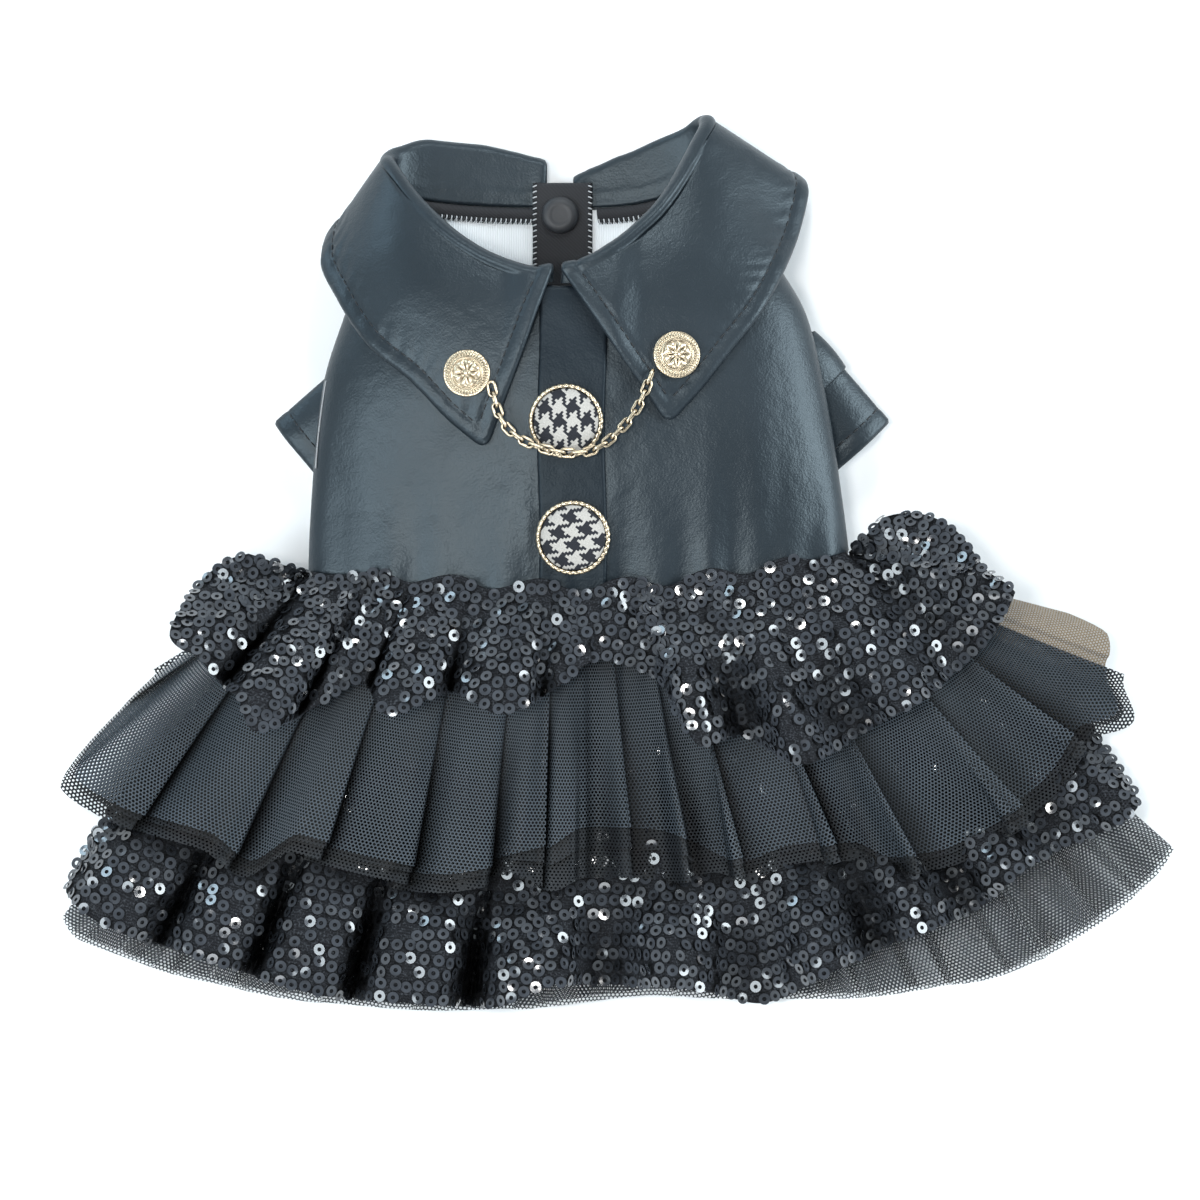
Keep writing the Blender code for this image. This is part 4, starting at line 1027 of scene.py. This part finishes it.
def disc_piece(name, radius, height_at, rings, sides, place, rotation, material):
    """Make a disc whose top is a height over radius and angle, with a flat back."""
    turn = 2 * math.pi * np.arange(sides) / sides
    out = radius * (np.arange(1, rings + 1) / rings)
    r, a = np.meshgrid(out, turn, indexing="ij")
    z = height_at(r, a)
    top = np.stack([r * np.cos(a), r * np.sin(a), z], -1).reshape(-1, 3)
    centre = np.array([[0, 0, float(height_at(np.array([1e-6]), np.array([0.0]))[0])]])
    back = np.stack([radius * 0.96 * np.cos(turn), radius * 0.96 * np.sin(turn), 0 * turn], -1)
    points = np.concatenate([top, centre, back, [[0, 0, 0]]])
    faces = []
    middle, base, under = rings * sides, rings * sides + 1, rings * sides + 1 + sides
    for corner in range(sides):
        beside = (corner + 1) % sides
        faces.append((middle, corner, beside))
        for ring in range(rings - 1):
            start = ring * sides
            faces.append((start + corner, start + sides + corner, start + sides + beside, start + beside))
        edge = (rings - 1) * sides
        faces.append((edge + corner, base + corner, base + beside, edge + beside))
        faces.append((under, base + beside, base + corner))
    return new_piece(name, lay(points, rotation, place), faces, [material], points[:, :2])


def tube_faces(around, section):
    """Quads of a tube that closes on itself."""
    index = np.arange(around * section).reshape(around, section)
    ahead = np.roll(index, -1, 0)
    return np.stack([index, ahead, np.roll(ahead, -1, 1), np.roll(index, -1, 1)], -1).reshape(-1, 4)


button_base = LEATHER / 2 + 2 * GAP + PLACKET_THICKNESS
cloth_radius = CLOTH_BUTTON_WIDTH / 2 - RIM_WIRE - GAP + 0.0006


def cloth_dome(r, a):
    """Height of a cloth button over radius, the same at each angle."""
    share = np.clip(r / cloth_radius, 0, 1)
    return CLOTH_BUTTON_HEIGHT * (0.30 + 0.70 * np.sqrt(np.maximum(1 - share ** 2.6 * 0.98, 0)))


for name, share_x, share_y, turned_by in CLOTH_BUTTONS:
    x = CHEST_HALF * share_x
    y = BACK_LENGTH * share_y
    rotation, normal = back_tilt(x, y)
    spot = np.array([x, y, float(back_height(x, y))]) + np.array(normal) * button_base
    wool = houndstooth_material("houndstooth_wool_" + name, turned_by)
    dome = disc_piece("houndstooth_" + name, cloth_radius, cloth_dome, 30, 96, spot, rotation, wool)
    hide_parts("cloth_button_" + name)
    around, section = 288, 14
    spin = 2 * math.pi * np.arange(around) / around
    turn = 2 * math.pi * np.arange(section) / section
    phase = RIM_CRIMPS * spin[:, None] + turn[None, :]
    wire = RIM_WIRE / 2 * (0.78 + 0.30 * np.abs(np.sin(phase / 2)) ** 0.7)
    out = (CLOTH_BUTTON_WIDTH - RIM_WIRE) / 2 + wire * np.cos(turn)[None, :]
    ring = np.stack([out * np.cos(spin)[:, None], out * np.sin(spin)[:, None],
                     RIM_WIRE / 2 + wire * np.sin(turn)[None, :]], -1)
    placed = lay(ring.reshape(-1, 3), rotation, spot)
    rim = new_piece("crimped_rim_" + name, placed, tube_faces(around, section), [gold])
    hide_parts("button_rim_" + name)


# Gold buttons
# Two cast 15 mm shank buttons with a reeded edge and a plain rosette in relief hold the ends of the
# chain on the collar points.

GOLD_BUTTON_WIDTH = 0.0150
GOLD_BUTTON_HEIGHT = 0.0040
ROSETTE_PETALS = 8
EDGE_REEDS = 44

# (name, x, y)
GOLD_BUTTONS = (("left", -0.383, 0.499), ("right", 0.381, 0.545))
gold_radius = GOLD_BUTTON_WIDTH / 2


def rosette_height(r, a):
    """Relief of the button: a domed field, eight petals round a bead, a step and a reeded edge."""
    share = r / gold_radius
    dome = GOLD_BUTTON_HEIGHT * (0.42 + 0.34 * np.sqrt(np.maximum(1 - share ** 2, 0)))
    petal = np.abs(np.cos(ROSETTE_PETALS * a / 2)) ** 0.7
    petal_band = np.clip(np.sin(math.pi * np.clip((share - 0.14) / 0.44, 0, 1)), 0, 1) ** 0.6
    petal_rise = 0.00065 * petal * petal_band
    bead = 0.00055 * np.sqrt(np.maximum(1 - (share / 0.14) ** 2, 0))
    ring = 0.00042 * hump(share - 0.66, 0.03)
    reeds = 0.00038 * (0.5 + 0.5 * np.cos(EDGE_REEDS * a)) * np.exp(-((share - 0.83) / 0.085) ** 4)
    lip = 0.00022 * hump(share - 0.97, 0.03)
    return dome + petal_rise + bead + ring + reeds + lip


for name, share_x, share_y in GOLD_BUTTONS:
    x = CHEST_HALF * share_x
    y = BACK_LENGTH * share_y
    rotation, normal = back_tilt(x, y, COLLAR_OVERHANG)
    lift = LEATHER / 2 + COLLAR_THICKNESS + 3 * GAP
    spot = np.array([x, y, float(back_height(x, y, COLLAR_OVERHANG))]) + np.array(normal) * lift
    button = disc_piece("rosette_button_" + name, gold_radius, rosette_height, 60, 264, spot, rotation, gold)
    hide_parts("gold_button_" + name)


# Collar chain
# A light cable chain of pale gold wire hangs in a loop between the two gold buttons and lies over
# the rim of the upper cloth button. Each oval link is turned a quarter against the next.

LINK_COUNT = 22
LINK_WIDTH = 0.0034
LINK_WIRE = 0.00098
LINK_BITE = -0.00020

# (along, drop, height)
CHAIN_ROUTE = (
    (0.115, 0.085, 0.0050),
    (0.165, 0.245, 0.0055),
    (0.270, 0.350, 0.0066),
    (0.440, 0.420, 0.0082),
    (0.600, 0.425, 0.0084),
    (0.720, 0.350, 0.0070),
    (0.815, 0.240, 0.0056),
    (0.880, 0.095, 0.0050),
)


def smooth_route(points, samples):
    """A smooth curve through the points, as samples evenly spaced along it."""
    points = np.asarray(points)
    padded = np.concatenate([points[:1], points, points[-1:]])
    fine = []
    for index in range(len(points) - 1):
        before, start, end, after = padded[index:index + 4]
        for t in np.arange(40) / 40:
            fine.append(0.5 * (2 * start + (end - before) * t + (2 * before - 5 * start + 4 * end - after) * t ** 2
                               + (3 * start - before - 3 * end + after) * t ** 3))
    fine = np.array(fine + [points[-1]])
    travelled = along_path(fine)
    return at_places(fine, travelled, np.linspace(0, travelled[-1], samples))


chain_left, chain_right = (np.array([CHEST_HALF * x, BACK_LENGTH * y, 0.0]) for _, x, y in GOLD_BUTTONS)
chain_span = np.linalg.norm(chain_right - chain_left)
chain_points = []
for along, drop, height in CHAIN_ROUTE:
    spot = chain_left + (chain_right - chain_left) * along - np.array([0.0, drop * chain_span, 0.0])
    spot[2] = float(back_height(spot[0], spot[1])) + height
    chain_points.append(spot)
chain_route = smooth_route(chain_points, LINK_COUNT)
pitch = np.linalg.norm(np.diff(chain_route, axis=0), axis=-1).mean()
link_around, link_section = 40, 12
link_turn = 2 * math.pi * (np.arange(link_around) + 0.5) / link_around
wire_turn = 2 * math.pi * np.arange(link_section) / link_section
bend = (LINK_WIDTH - LINK_WIRE) / 2
straight = (pitch + LINK_WIRE - LINK_BITE) / 2 - bend
chain_verts = []
chain_faces = []
for index in range(LINK_COUNT):
    forward = chain_route[min(index + 1, LINK_COUNT - 1)] - chain_route[max(index - 1, 0)]
    forward = forward / np.linalg.norm(forward)
    level = np.cross(forward, [0, 0, 1.0])
    level /= np.linalg.norm(level)
    upright = np.cross(level, forward)
    turned_link = math.radians(78 if index % 2 else 12)
    lean = upright * math.cos(turned_link) + level * math.sin(turned_link)
    side = np.cross(forward, lean)
    outward = np.cos(link_turn)[:, None] * forward + np.sin(link_turn)[:, None] * side
    shift = (np.sign(np.cos(link_turn)) * straight)[:, None] * forward
    middle = chain_route[index] + shift + outward * bend
    tube = middle[:, None] + LINK_WIRE / 2 * (outward[:, None] * np.cos(wire_turn)[None, :, None]
                                              + lean[None, None] * np.sin(wire_turn)[None, :, None])
    chain_faces.append(tube_faces(link_around, link_section)[:, [0, 3, 2, 1]] + index * link_around * link_section)
    chain_verts.append(tube.reshape(-1, 3))
chain = new_piece("cable_chain", np.concatenate(chain_verts), np.concatenate(chain_faces), [gold])
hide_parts("collar_chain")


# Skirt shape
# Four ruffles are gathered into the waist seam. They fan out along rays from the seam, each rests on
# the one below, and their folds lean over one another the way soft pleats do when the skirt is laid flat.

SKIRT_LENGTH = 0.135
SEAM_START = 0.0007
SEQUIN_NET = 0.0012
TULLE = 0.0010
LAYER_STEP = 0.0028
RIDGE_STEP = 0.0018
FLOOR_CLEARANCE = 0.0003
SOFT_CEILING = 0.050
HEADING_DEPTH = 0.0055
HEADING_SCALLOPS = 9
PUFF_HEIGHT = 0.0040
TOP_FOLD = 0.0200
HEM_FOLD = 0.0135
GATHER_HEIGHT = 0.0007
FLUTTER = 0.0008

# (place, waist_angle, direction)
RAYS = (
    (0.00, 180.0, -80.0),
    (0.06, 178.0, -58.0),
    (0.12, 174.0, -42.0),
    (0.20, 146.0, -30.0),
    (0.35, 115.0, -15.0),
    (0.50, 88.0, 0.0),
    (0.65, 63.0, 16.0),
    (0.80, 33.0, 32.0),
    (0.88, 6.0, 50.0),
    (0.94, 2.0, 74.0),
    (1.00, 0.0, 104.0),
)

# (place, length)
HEM_SEQUIN_UPPER = (
    (0.00, 0.15), (0.01, 0.20), (0.02, 0.25), (0.035, 0.305), (0.05, 0.36), (0.08, 0.33), (0.16, 0.34),
    (0.193, 0.41), (0.23, 0.33),
    (0.27, 0.24), (0.313, 0.31), (0.366, 0.24), (0.42, 0.29), (0.471, 0.23), (0.522, 0.155), (0.58, 0.20),
    (0.61, 0.37), (0.646, 0.355), (0.70, 0.46), (0.76, 0.42), (0.813, 0.40), (0.863, 0.37), (0.92, 0.38),
    (0.94, 0.385), (0.95, 0.32), (0.97, 0.25), (0.985, 0.19), (1.00, 0.12),
)
HEM_TULLE_UPPER = (
    (0.062, 0.39), (0.09, 0.75), (0.123, 0.735), (0.20, 0.71), (0.24, 0.745), (0.27, 0.655), (0.36, 0.66),
    (0.426, 0.635), (0.47, 0.60), (0.503, 0.545), (0.56, 0.56), (0.59, 0.60), (0.621, 0.655), (0.664, 0.63),
    (0.715, 0.65), (0.738, 0.71), (0.786, 0.75), (0.852, 0.73), (0.89, 0.705), (0.908, 0.76), (0.92, 0.69),
    (0.938, 0.65), (0.948, 0.39),
)
HEM_SEQUIN_LOWER = (
    (0.125, 0.74), (0.142, 0.955), (0.20, 0.985), (0.32, 1.00), (0.393, 0.975), (0.44, 0.975), (0.486, 0.915),
    (0.54, 0.925), (0.58, 0.95), (0.618, 1.00), (0.668, 0.955), (0.718, 0.93), (0.774, 0.925), (0.83, 0.875),
    (0.876, 0.91), (0.896, 0.70),
)
HEM_TULLE_LOWER = (
    (0.145, 1.01), (0.165, 1.045), (0.206, 1.045), (0.26, 1.03), (0.358, 1.01), (0.396, 1.00), (0.448, 0.975),
    (0.50, 0.945), (0.54, 0.935), (0.576, 0.955), (0.64, 1.00), (0.69, 1.04), (0.735, 1.06), (0.775, 1.08),
    (0.82, 1.075), (0.862, 1.065), (0.875, 1.05),
)

# Extra turn of the top ruffle's ends, which puff up beside the waist
# (place, turn)
TOP_TURNS = ((0.0, -28.0), (0.01, -22.0), (0.02, -15.0), (0.035, -9.0), (0.05, -3.0), (0.07, 0.0), (0.92, 0.0),
             (0.95, 3.0), (0.97, 14.0), (0.985, 23.0), (1.0, 31.0))

# Ridges of the folds from left to right
# (place, height as a share)
RIDGES_SEQUIN_UPPER = (
    (-0.04, 0.7), (0.085, 1.0), (0.193, 1.15), (0.25, 0.45), (0.313, 1.0), (0.42, 1.2), (0.50, 0.5),
    (0.61, 1.2), (0.70, 1.1), (0.81, 0.8), (0.94, 1.0), (1.07, 0.7),
)
RIDGES_TULLE_UPPER = (
    (0.03, 0.9), (0.10, 0.9), (0.19, 1.0), (0.255, 0.9), (0.325, 1.0), (0.40, 1.0), (0.45, 0.8), (0.485, 0.9),
    (0.535, 1.0), (0.58, 0.8), (0.62, 0.9), (0.693, 1.0), (0.75, 0.9), (0.825, 1.0), (0.88, 0.8), (0.93, 0.8),
    (1.0, 0.8),
)
RIDGES_SEQUIN_LOWER = (
    (0.09, 0.6), (0.17, 0.6), (0.24, 0.7), (0.31, 0.8), (0.385, 1.0), (0.468, 1.2), (0.56, 1.25), (0.665, 1.1),
    (0.74, 0.9), (0.81, 0.8), (0.87, 0.7), (0.94, 0.6),
)
RIDGES_TULLE_LOWER = (
    (0.12, 1.0), (0.18, 1.0), (0.24, 1.0), (0.30, 1.0), (0.36, 1.0), (0.42, 1.0), (0.49, 1.0), (0.56, 1.0),
    (0.62, 1.0), (0.68, 1.0), (0.74, 1.0), (0.80, 1.0), (0.85, 1.0), (0.90, 1.0),
)

# Ruffles from the floor up
# (name, hem, ridges, start, end, fold_height, wall, lean of the folds, uneven length of the folds)
RUFFLES = (
    ("tulle_ruffle_lower", HEM_TULLE_LOWER, RIDGES_TULLE_LOWER, 0.148, 0.875, 0.0030, TULLE, 0.9, 0.0012),
    ("sequin_ruffle_lower", HEM_SEQUIN_LOWER, RIDGES_SEQUIN_LOWER, 0.125, 0.898, 0.0050, SEQUIN_NET, 0.55, 0.0015),
    ("tulle_ruffle_upper", HEM_TULLE_UPPER, RIDGES_TULLE_UPPER, 0.057, 0.943, 0.0210, TULLE, 2.0, 0.0024),
    ("sequin_ruffle_upper", HEM_SEQUIN_UPPER, RIDGES_SEQUIN_UPPER, 0.0, 1.0, 0.0085, SEQUIN_NET, 0.80, 0.0010),
)


def ruffle_rest(level):
    """Height above the table at which a ruffle's far end rests."""
    rest = FLOOR_CLEARANCE + TULLE / 2
    for row in RUFFLES[:level]:
        rest += row[5] + RIDGE_STEP
    return rest


def ruffle_grid(level, columns, rows, turned=0.0, taller=1.0, longer=0.0, lower=0.0, filled=0.0):
    """Points of a ruffle's middle surface: across the skirt, and from the waist to the hem."""
    _, hem, ridges, first, last, height, wall, lean, uneven = RUFFLES[level]
    top = level == len(RUFFLES) - 1
    ridge_order = np.arange(len(ridges))
    spot = np.linspace(first, last, columns)[:, None]
    share = np.linspace(0, 1, rows)[None, :]
    phase = 2 * math.pi * np.interp(spot, [ridge[0] for ridge in ridges], ridge_order) + turned
    width = np.gradient(phase[:, 0], spot[:, 0])[:, None]
    width = np.convolve(np.pad(width[:, 0], 10, mode="edge"), np.ones(21) / 21, "valid")[:, None]
    inner = np.minimum(spot - first, last - spot)
    ends = ease(inner / 0.05)
    side = np.where(spot < 0.5, 1.0, -1.0) * ease(np.abs(spot - 0.5) / 0.03)
    grow = 0.25 + 0.75 * share ** 0.8
    place = np.clip(spot + side * lean * grow * np.sin(phase) / width * ends, first, last)
    short = ease((place - 0.44) / 0.05) * ease((0.61 - place) / 0.04)
    length = SKIRT_LENGTH * (read(hem, place, 1) + longer + filled * short)
    start = np.full(spot.shape, SEAM_START)
    if top:
        scallop = 0.65 + 0.35 * np.cos(2 * math.pi * HEADING_SCALLOPS * spot)
        heading = HEADING_DEPTH * scallop * ease(np.minimum(spot, 1 - spot) / 0.22 - 0.3)
        start = np.where(heading > SEAM_START, -heading, SEAM_START)
    reach = start + (length - start) * share
    angle = read(RAYS, place, 1)
    direction = read(RAYS, place, 2)
    if top:
        direction = direction + read(TOP_TURNS, place, 1)
    direction = np.radians(direction)
    outward = np.stack([np.sin(direction), -np.cos(direction), 0 * direction], -1)
    waist = body_point(angle, waist_edge(angle))
    point = waist + outward * reach[..., None]
    root_drop = LEATHER / 2 + GAP + wall + (level - len(RUFFLES) + 1) * LAYER_STEP
    out = np.clip(reach / SKIRT_LENGTH, 0, None)
    lift = root_drop + (over_placket(waist[..., 0]) if top else 0.0)
    root = np.where(reach < 0, back_height(point[..., 0], point[..., 1]), waist[..., 2]) + lift
    along = np.clip(reach / length, 0, 1)
    dice = np.random.default_rng(90 + level)
    number = phase / (2 * math.pi)
    tall = np.interp(number, ridge_order, [ridge[1] for ridge in ridges])
    longness = dice.normal(0, 1, len(ridges))
    if level in (1, 3):
        fold = 1 - (0.5 - 0.5 * np.cos(phase)) ** 2.1
    else:
        fold = 0.5 + 0.5 * np.tanh(1.7 * np.cos(phase - 0.75 * side)) / np.tanh(1.7)
    if top:
        bulk = np.clip(length / (0.36 * SKIRT_LENGTH), 0.45, 1.0)
        rise = fold * TOP_FOLD * bulk * tall * along ** 1.2 + PUFF_HEIGHT * np.sin(math.pi * along) * (1 - fold / 2)
    elif level == 1:
        rise = fold * (height * out + HEM_FOLD * tall * ease((out - 0.66) / 0.24))
    elif level == 2:
        rise = fold * tall * height * out ** 2
    else:
        rise = fold * height * out
    stray = uneven * np.interp(number, ridge_order, longness) * along ** 4 * ends
    point = point + outward * stray[..., None]
    at_seam = np.exp(-np.clip(reach, 0, None) / 0.022) * np.clip(along * 8, 0, 1)
    gathers = GATHER_HEIGHT * np.sin(phase * 3.3 + 1.0) * at_seam
    flutter = FLUTTER * along ** 2 * (np.sin(phase * 2.2 + 0.7) + 0.6 * np.sin(phase * 3.7))
    point[..., 2] = root * (1 - out) + ruffle_rest(level) * out + rise * taller + gathers + flutter - lower
    over = np.maximum(point[..., 2] - SOFT_CEILING, 0)
    point[..., 2] -= 0.55 * over
    point[..., 2] = np.maximum(point[..., 2], FLOOR_CLEARANCE)
    return point[::-1]


# Tulle
# Fine black hexagonal net, cut raw at the hem, so it is see-through where it lies single and dark
# where plies and pleats lie over each other: two plies below, and three and a tan end flap above. The
# net's colour also gets painted shade in its pleats, and the plies under the outer upper one get a much
# darker copy of the net colour, painted shade as well.

NET_CELL = 0.0012
NET_THREAD = 0.155
INNER_THREAD = 0.23


def vector_step(tree, kind, output, *values):
    """One step of arithmetic on vectors."""
    return add_node(tree, "ShaderNodeVectorMath", dict(enumerate(values)), output, operation=kind)


def build_net_group():
    """Mask of the threads of a hexagonal net over a cloth map in metres."""
    group, given, result = new_group("hexagonal_net", {"Cloth": "Vector", "Cell": "Float", "Thread": "Float"},
                                     ("Threads", "Float"))
    cell = add_node(group, "ShaderNodeCombineXYZ", {axis: given["Cell"] for axis in ("X", "Y", "Z")}, "Vector")
    scaled = vector_step(group, "DIVIDE", "Vector", given["Cloth"], cell)
    half = (0.5, math.sqrt(3) / 2, 0.5)

    def nearest(vector):
        wrapped = vector_step(group, "WRAP", "Vector", vector, half, tuple(-value for value in half))
        return vector_step(group, "MULTIPLY", "Vector", wrapped, (1.0, 1.0, 0.0))

    first = nearest(scaled)
    second = nearest(vector_step(group, "ADD", "Vector", scaled, half))
    lengths = [vector_step(group, "LENGTH", "Value", vector) for vector in (first, second)]
    closer = calculate(group, "LESS_THAN", *lengths)
    chosen = add_node(group, "ShaderNodeMix", {"Factor": closer, "A": second, "B": first}, "Result",
                      data_type="VECTOR")
    folded = vector_step(group, "ABSOLUTE", "Vector", chosen)
    slanted = vector_step(group, "DOT_PRODUCT", "Value", folded, (0.5, math.sqrt(3) / 2, 0.0))
    sideways = add_node(group, "ShaderNodeSeparateXYZ", {"Vector": folded}, "X")
    reach = calculate(group, "MAXIMUM", slanted, sideways)
    inner = calculate(group, "SUBTRACT", 0.5, given["Thread"])
    fill(group, result, {"Threads": calculate(group, "GREATER_THAN", reach, inner)})
    return group


net_group = build_net_group()


def net_threads(tree, cell, thread_share):
    """Where the threads of a hexagonal net run over the cloth."""
    return add_node(tree, "ShaderNodeGroup", {"Cloth": cloth_place(tree), "Cell": cell, "Thread": thread_share},
                    "Threads", node_tree=net_group)


def tulle_material(name, color, thread_share):
    """Black net: its threads are opaque and its holes are open."""
    material, tree, shader = new_material(name)
    fade = noise(tree, object_place(tree), 60)
    shade = mix_colors(tree, fade, tuple(0.6 * value for value in color), color)
    fill(tree, shader, {
        # Painted shade: the net's colour is darkened in its pleats and under other plies by the occlusion group.
        "Base Color": paint_shade_in_nooks(tree, shade, 0.014, 2.8),
        "Alpha": net_threads(tree, NET_CELL, thread_share),
        "Roughness": 0.55,
        "Specular IOR Level": 0.24,
    })
    return material


tulle_upper_net = tulle_material("upper_tulle", (0.060, 0.075, 0.091), NET_THREAD)
# The plies under the outer upper ply are the same net with a much darker colour: painted shade for plies lying under
# it.
shaded_tulle_under_net = tulle_material("under_ply_tulle_painted_shade", (0.016, 0.019, 0.023), INNER_THREAD)
tulle_lower_net = tulle_material("lower_tulle", (0.055, 0.062, 0.070), NET_THREAD)


def tulle_piece(name, points, material, scatter):
    """Make a ply of tulle from a grid, with a cloth map whose width is the hem's own length."""
    columns, rows = points.shape[:2]
    across, along = run_lengths(points)
    hem_run = across[:, int(rows * 0.8)][:, None] + 0 * along
    cloth_map = np.stack([hem_run + scatter, along], -1).reshape(-1, 2)
    piece = new_piece(name, points.reshape(-1, 3), grid_faces(columns, rows), [material], cloth_map)
    return piece


lower_outer = ruffle_grid(0, 640, 24)
lower_tulle = tulle_piece("tulle_lower_outer", lower_outer, tulle_lower_net, 0.0)
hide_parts("tulle_ruffle_lower")
lower_inner = ruffle_grid(0, 640, 24, turned=2.4, taller=0.8, longer=-0.012, lower=0.0004)
tulle_piece("tulle_lower_inner", lower_inner, tulle_lower_net, 0.0007)

END_FLAP = 26
FLAP_UNDERLAP = 22
upper_outer = ruffle_grid(2, 800, 30)[END_FLAP:]
upper_tulle = tulle_piece("tulle_upper_outer", upper_outer, tulle_upper_net, 0.0)
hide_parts("tulle_ruffle_upper")
for name, turned, taller, longer, lower, filled, scatter in (
    ("tulle_upper_inner", 0.16, 0.74, 0.045, 0.0013, 0.075, 0.0007),
    ("tulle_upper_middle", 0.08, 0.88, 0.015, 0.0007, 0.035, 0.0004),
):
    upper_ply = ruffle_grid(2, 800, 30, turned, taller, longer, lower, filled)[END_FLAP:]
    tulle_piece(name, upper_ply, shaded_tulle_under_net, scatter)

sheer, tree, shader = new_material("tan_sheer_lining")
sheer_weave = noise(tree, object_place(tree), 700, 4)
fill(tree, shader, {
    "Base Color": mix_colors(tree, sheer_weave, (0.085, 0.060, 0.034), (0.18, 0.130, 0.076)),
    "Roughness": 0.7,
    "Alpha": spread(tree, net_threads(tree, 0.0010, 0.20), 0.66, 0.97),
})
end_flap = ruffle_grid(2, 800, 30, taller=0.8, longer=-0.004, lower=0.0014)[:END_FLAP + FLAP_UNDERLAP]
tulle_piece("tulle_end_flap", end_flap, sheer, 0.0)


# Sequin ruffles
# Black net is sewn all over with nearly flat 4 mm ring sequins in rows, each tilted its own way on its
# thread. The net between them is fuzzy and the hems are cut raw.

SEQUIN_WIDTH = 0.0038
SEQUIN_HOLE = 0.37
SEQUIN_ROWS = 0.0043
SEQUIN_SPACING = 0.0042
SEQUIN_SIDES = 14
SEQUINS_LOST = 0.07
SEQUIN_LEAN = 0.16

net_cloth, tree, shader = new_material("fuzzy_net_cloth")
weave = mix_colors(tree, net_threads(tree, 0.0011, 0.22), (0.003, 0.003, 0.004), (0.014, 0.015, 0.018))
fuzz = noise(tree, object_place(tree), 1500, 5)
fibre = add_node(tree, "ShaderNodeMapRange", {"Value": fuzz, "From Min": 0.52, "From Max": 0.70}, "Result")
fibres = mix_colors(tree, fibre, weave, (0.050, 0.055, 0.063))
fill(tree, shader, {
    # Painted shade: the fuzzy net's colour is darkened in its folds and under the sequins by the occlusion group.
    "Base Color": paint_shade_in_nooks(tree, fibres, 0.012, 1.5),
    "Roughness": 0.7,
    "Specular IOR Level": 0.12,
    "Normal": bump(tree, fuzz, 0.9, 0.0004),
})

sequin_gloss, tree, shader = new_material("black_sequin")
cast = noise(tree, object_place(tree), 240)
shade = mix_colors(tree, cast, (0.020, 0.022, 0.026), (0.070, 0.077, 0.090))
fill(tree, shader, {
    # Painted shade: the sequins' colour is darkened in the ruffle's fold valleys by the occlusion group.
    "Base Color": paint_shade_in_nooks(tree, shade, 0.016, 2.4),
    "Roughness": 0.12,
    "IOR": 1.55,
    "Coat Weight": 0.35,
    "Coat Roughness": 0.05,
})


def sequin_piece(name, points, wall, first_reach, seed):
    """Sew sequins in rows over a ruffle's grid, from a distance short of the hem to the hem."""
    dice = np.random.default_rng(seed)
    normals = grid_normals(points)
    across, along = run_lengths(points)
    columns, rows = points.shape[:2]
    places = []
    turns = []
    order = np.arange(rows)
    longest = along[:, -1].max()
    row_number = 0
    back_from_hem = 0.0014
    while back_from_hem < longest:
        wanted = along[:, -1] - back_from_hem
        row_at = np.array([np.interp(wanted[i], along[i], order) for i in range(columns)])
        usable = (wanted > 0.0006) & (back_from_hem <= first_reach)
        line, facing = path_on(points, normals, np.arange(columns, dtype=float), row_at)
        travelled = along_path(line)
        spots = np.arange(0.12 * (row_number % 2), travelled[-1] / SEQUIN_SPACING) * SEQUIN_SPACING
        spots = spots + dice.normal(0, 0.00022, len(spots))
        column_at = np.interp(spots, travelled, np.arange(columns))
        keep = usable[np.clip(np.round(column_at).astype(int), 0, columns - 1)]
        keep &= dice.random(len(spots)) > SEQUINS_LOST
        jitter = dice.normal(0, 0.12, keep.sum())
        chosen_columns = column_at[keep]
        chosen_rows = np.interp(chosen_columns, np.arange(columns), row_at) + jitter
        spot, facing = path_on(points, normals, chosen_columns, np.clip(chosen_rows, 0, rows - 1.001))
        places.append(spot)
        turns.append(facing)
        back_from_hem += SEQUIN_ROWS
        row_number += 1
    spot = np.concatenate(places)
    facing = np.concatenate(turns)
    count = len(spot)
    lean = dice.normal(0, SEQUIN_LEAN, (count, 3))
    upright = facing
    facing = facing + lean
    facing /= np.linalg.norm(facing, axis=-1, keepdims=True)
    tilt = np.sqrt(np.maximum(1 - (facing * upright).sum(-1) ** 2, 0))
    side = np.cross(facing, dice.normal(0, 1, (count, 3)))
    side /= np.linalg.norm(side, axis=-1, keepdims=True)
    other = np.cross(facing, side)
    around_sequin = circles(2 * math.pi * np.arange(SEQUIN_SIDES) / SEQUIN_SIDES, side, other)
    # (share of the sequin's radius, height as a share of the radius)
    rings = ((SEQUIN_HOLE, 0.0), (1.0, 0.03))
    radius = SEQUIN_WIDTH / 2
    centre = spot + upright * (wall / 2 + 0.00015 + radius * 0.85 * tilt)[:, None]
    layers = []
    for out, up in rings:
        layers.append(centre[:, None] + radius * out * around_sequin + facing[:, None] * radius * up)
    verts = np.stack(layers, 1).reshape(-1, 3)
    faces = ring_faces(len(rings), SEQUIN_SIDES, count)[:, [0, 3, 2, 1]]
    piece = new_piece(name, verts, faces, [sequin_gloss])
    return piece


for level, columns, rows, first_reach, seed, resting in (
    (1, 540, 42, 0.080, 41, ["tulle_lower_outer"]),
    (3, 640, 28, 0.075, 43, ["tulle_upper_outer"]),
):
    name = RUFFLES[level][0]
    ruffle_points = ruffle_grid(level, columns, rows)
    ruffle_half = np.full(ruffle_points.shape[:2], 0.0003)
    ruffle = leather_piece(name + "_net", ruffle_points, ruffle_half, net_cloth, net_cloth)
    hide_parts(name)
    sequins = sequin_piece(name + "_sequins", ruffle_points, 0.0006, first_reach, seed)
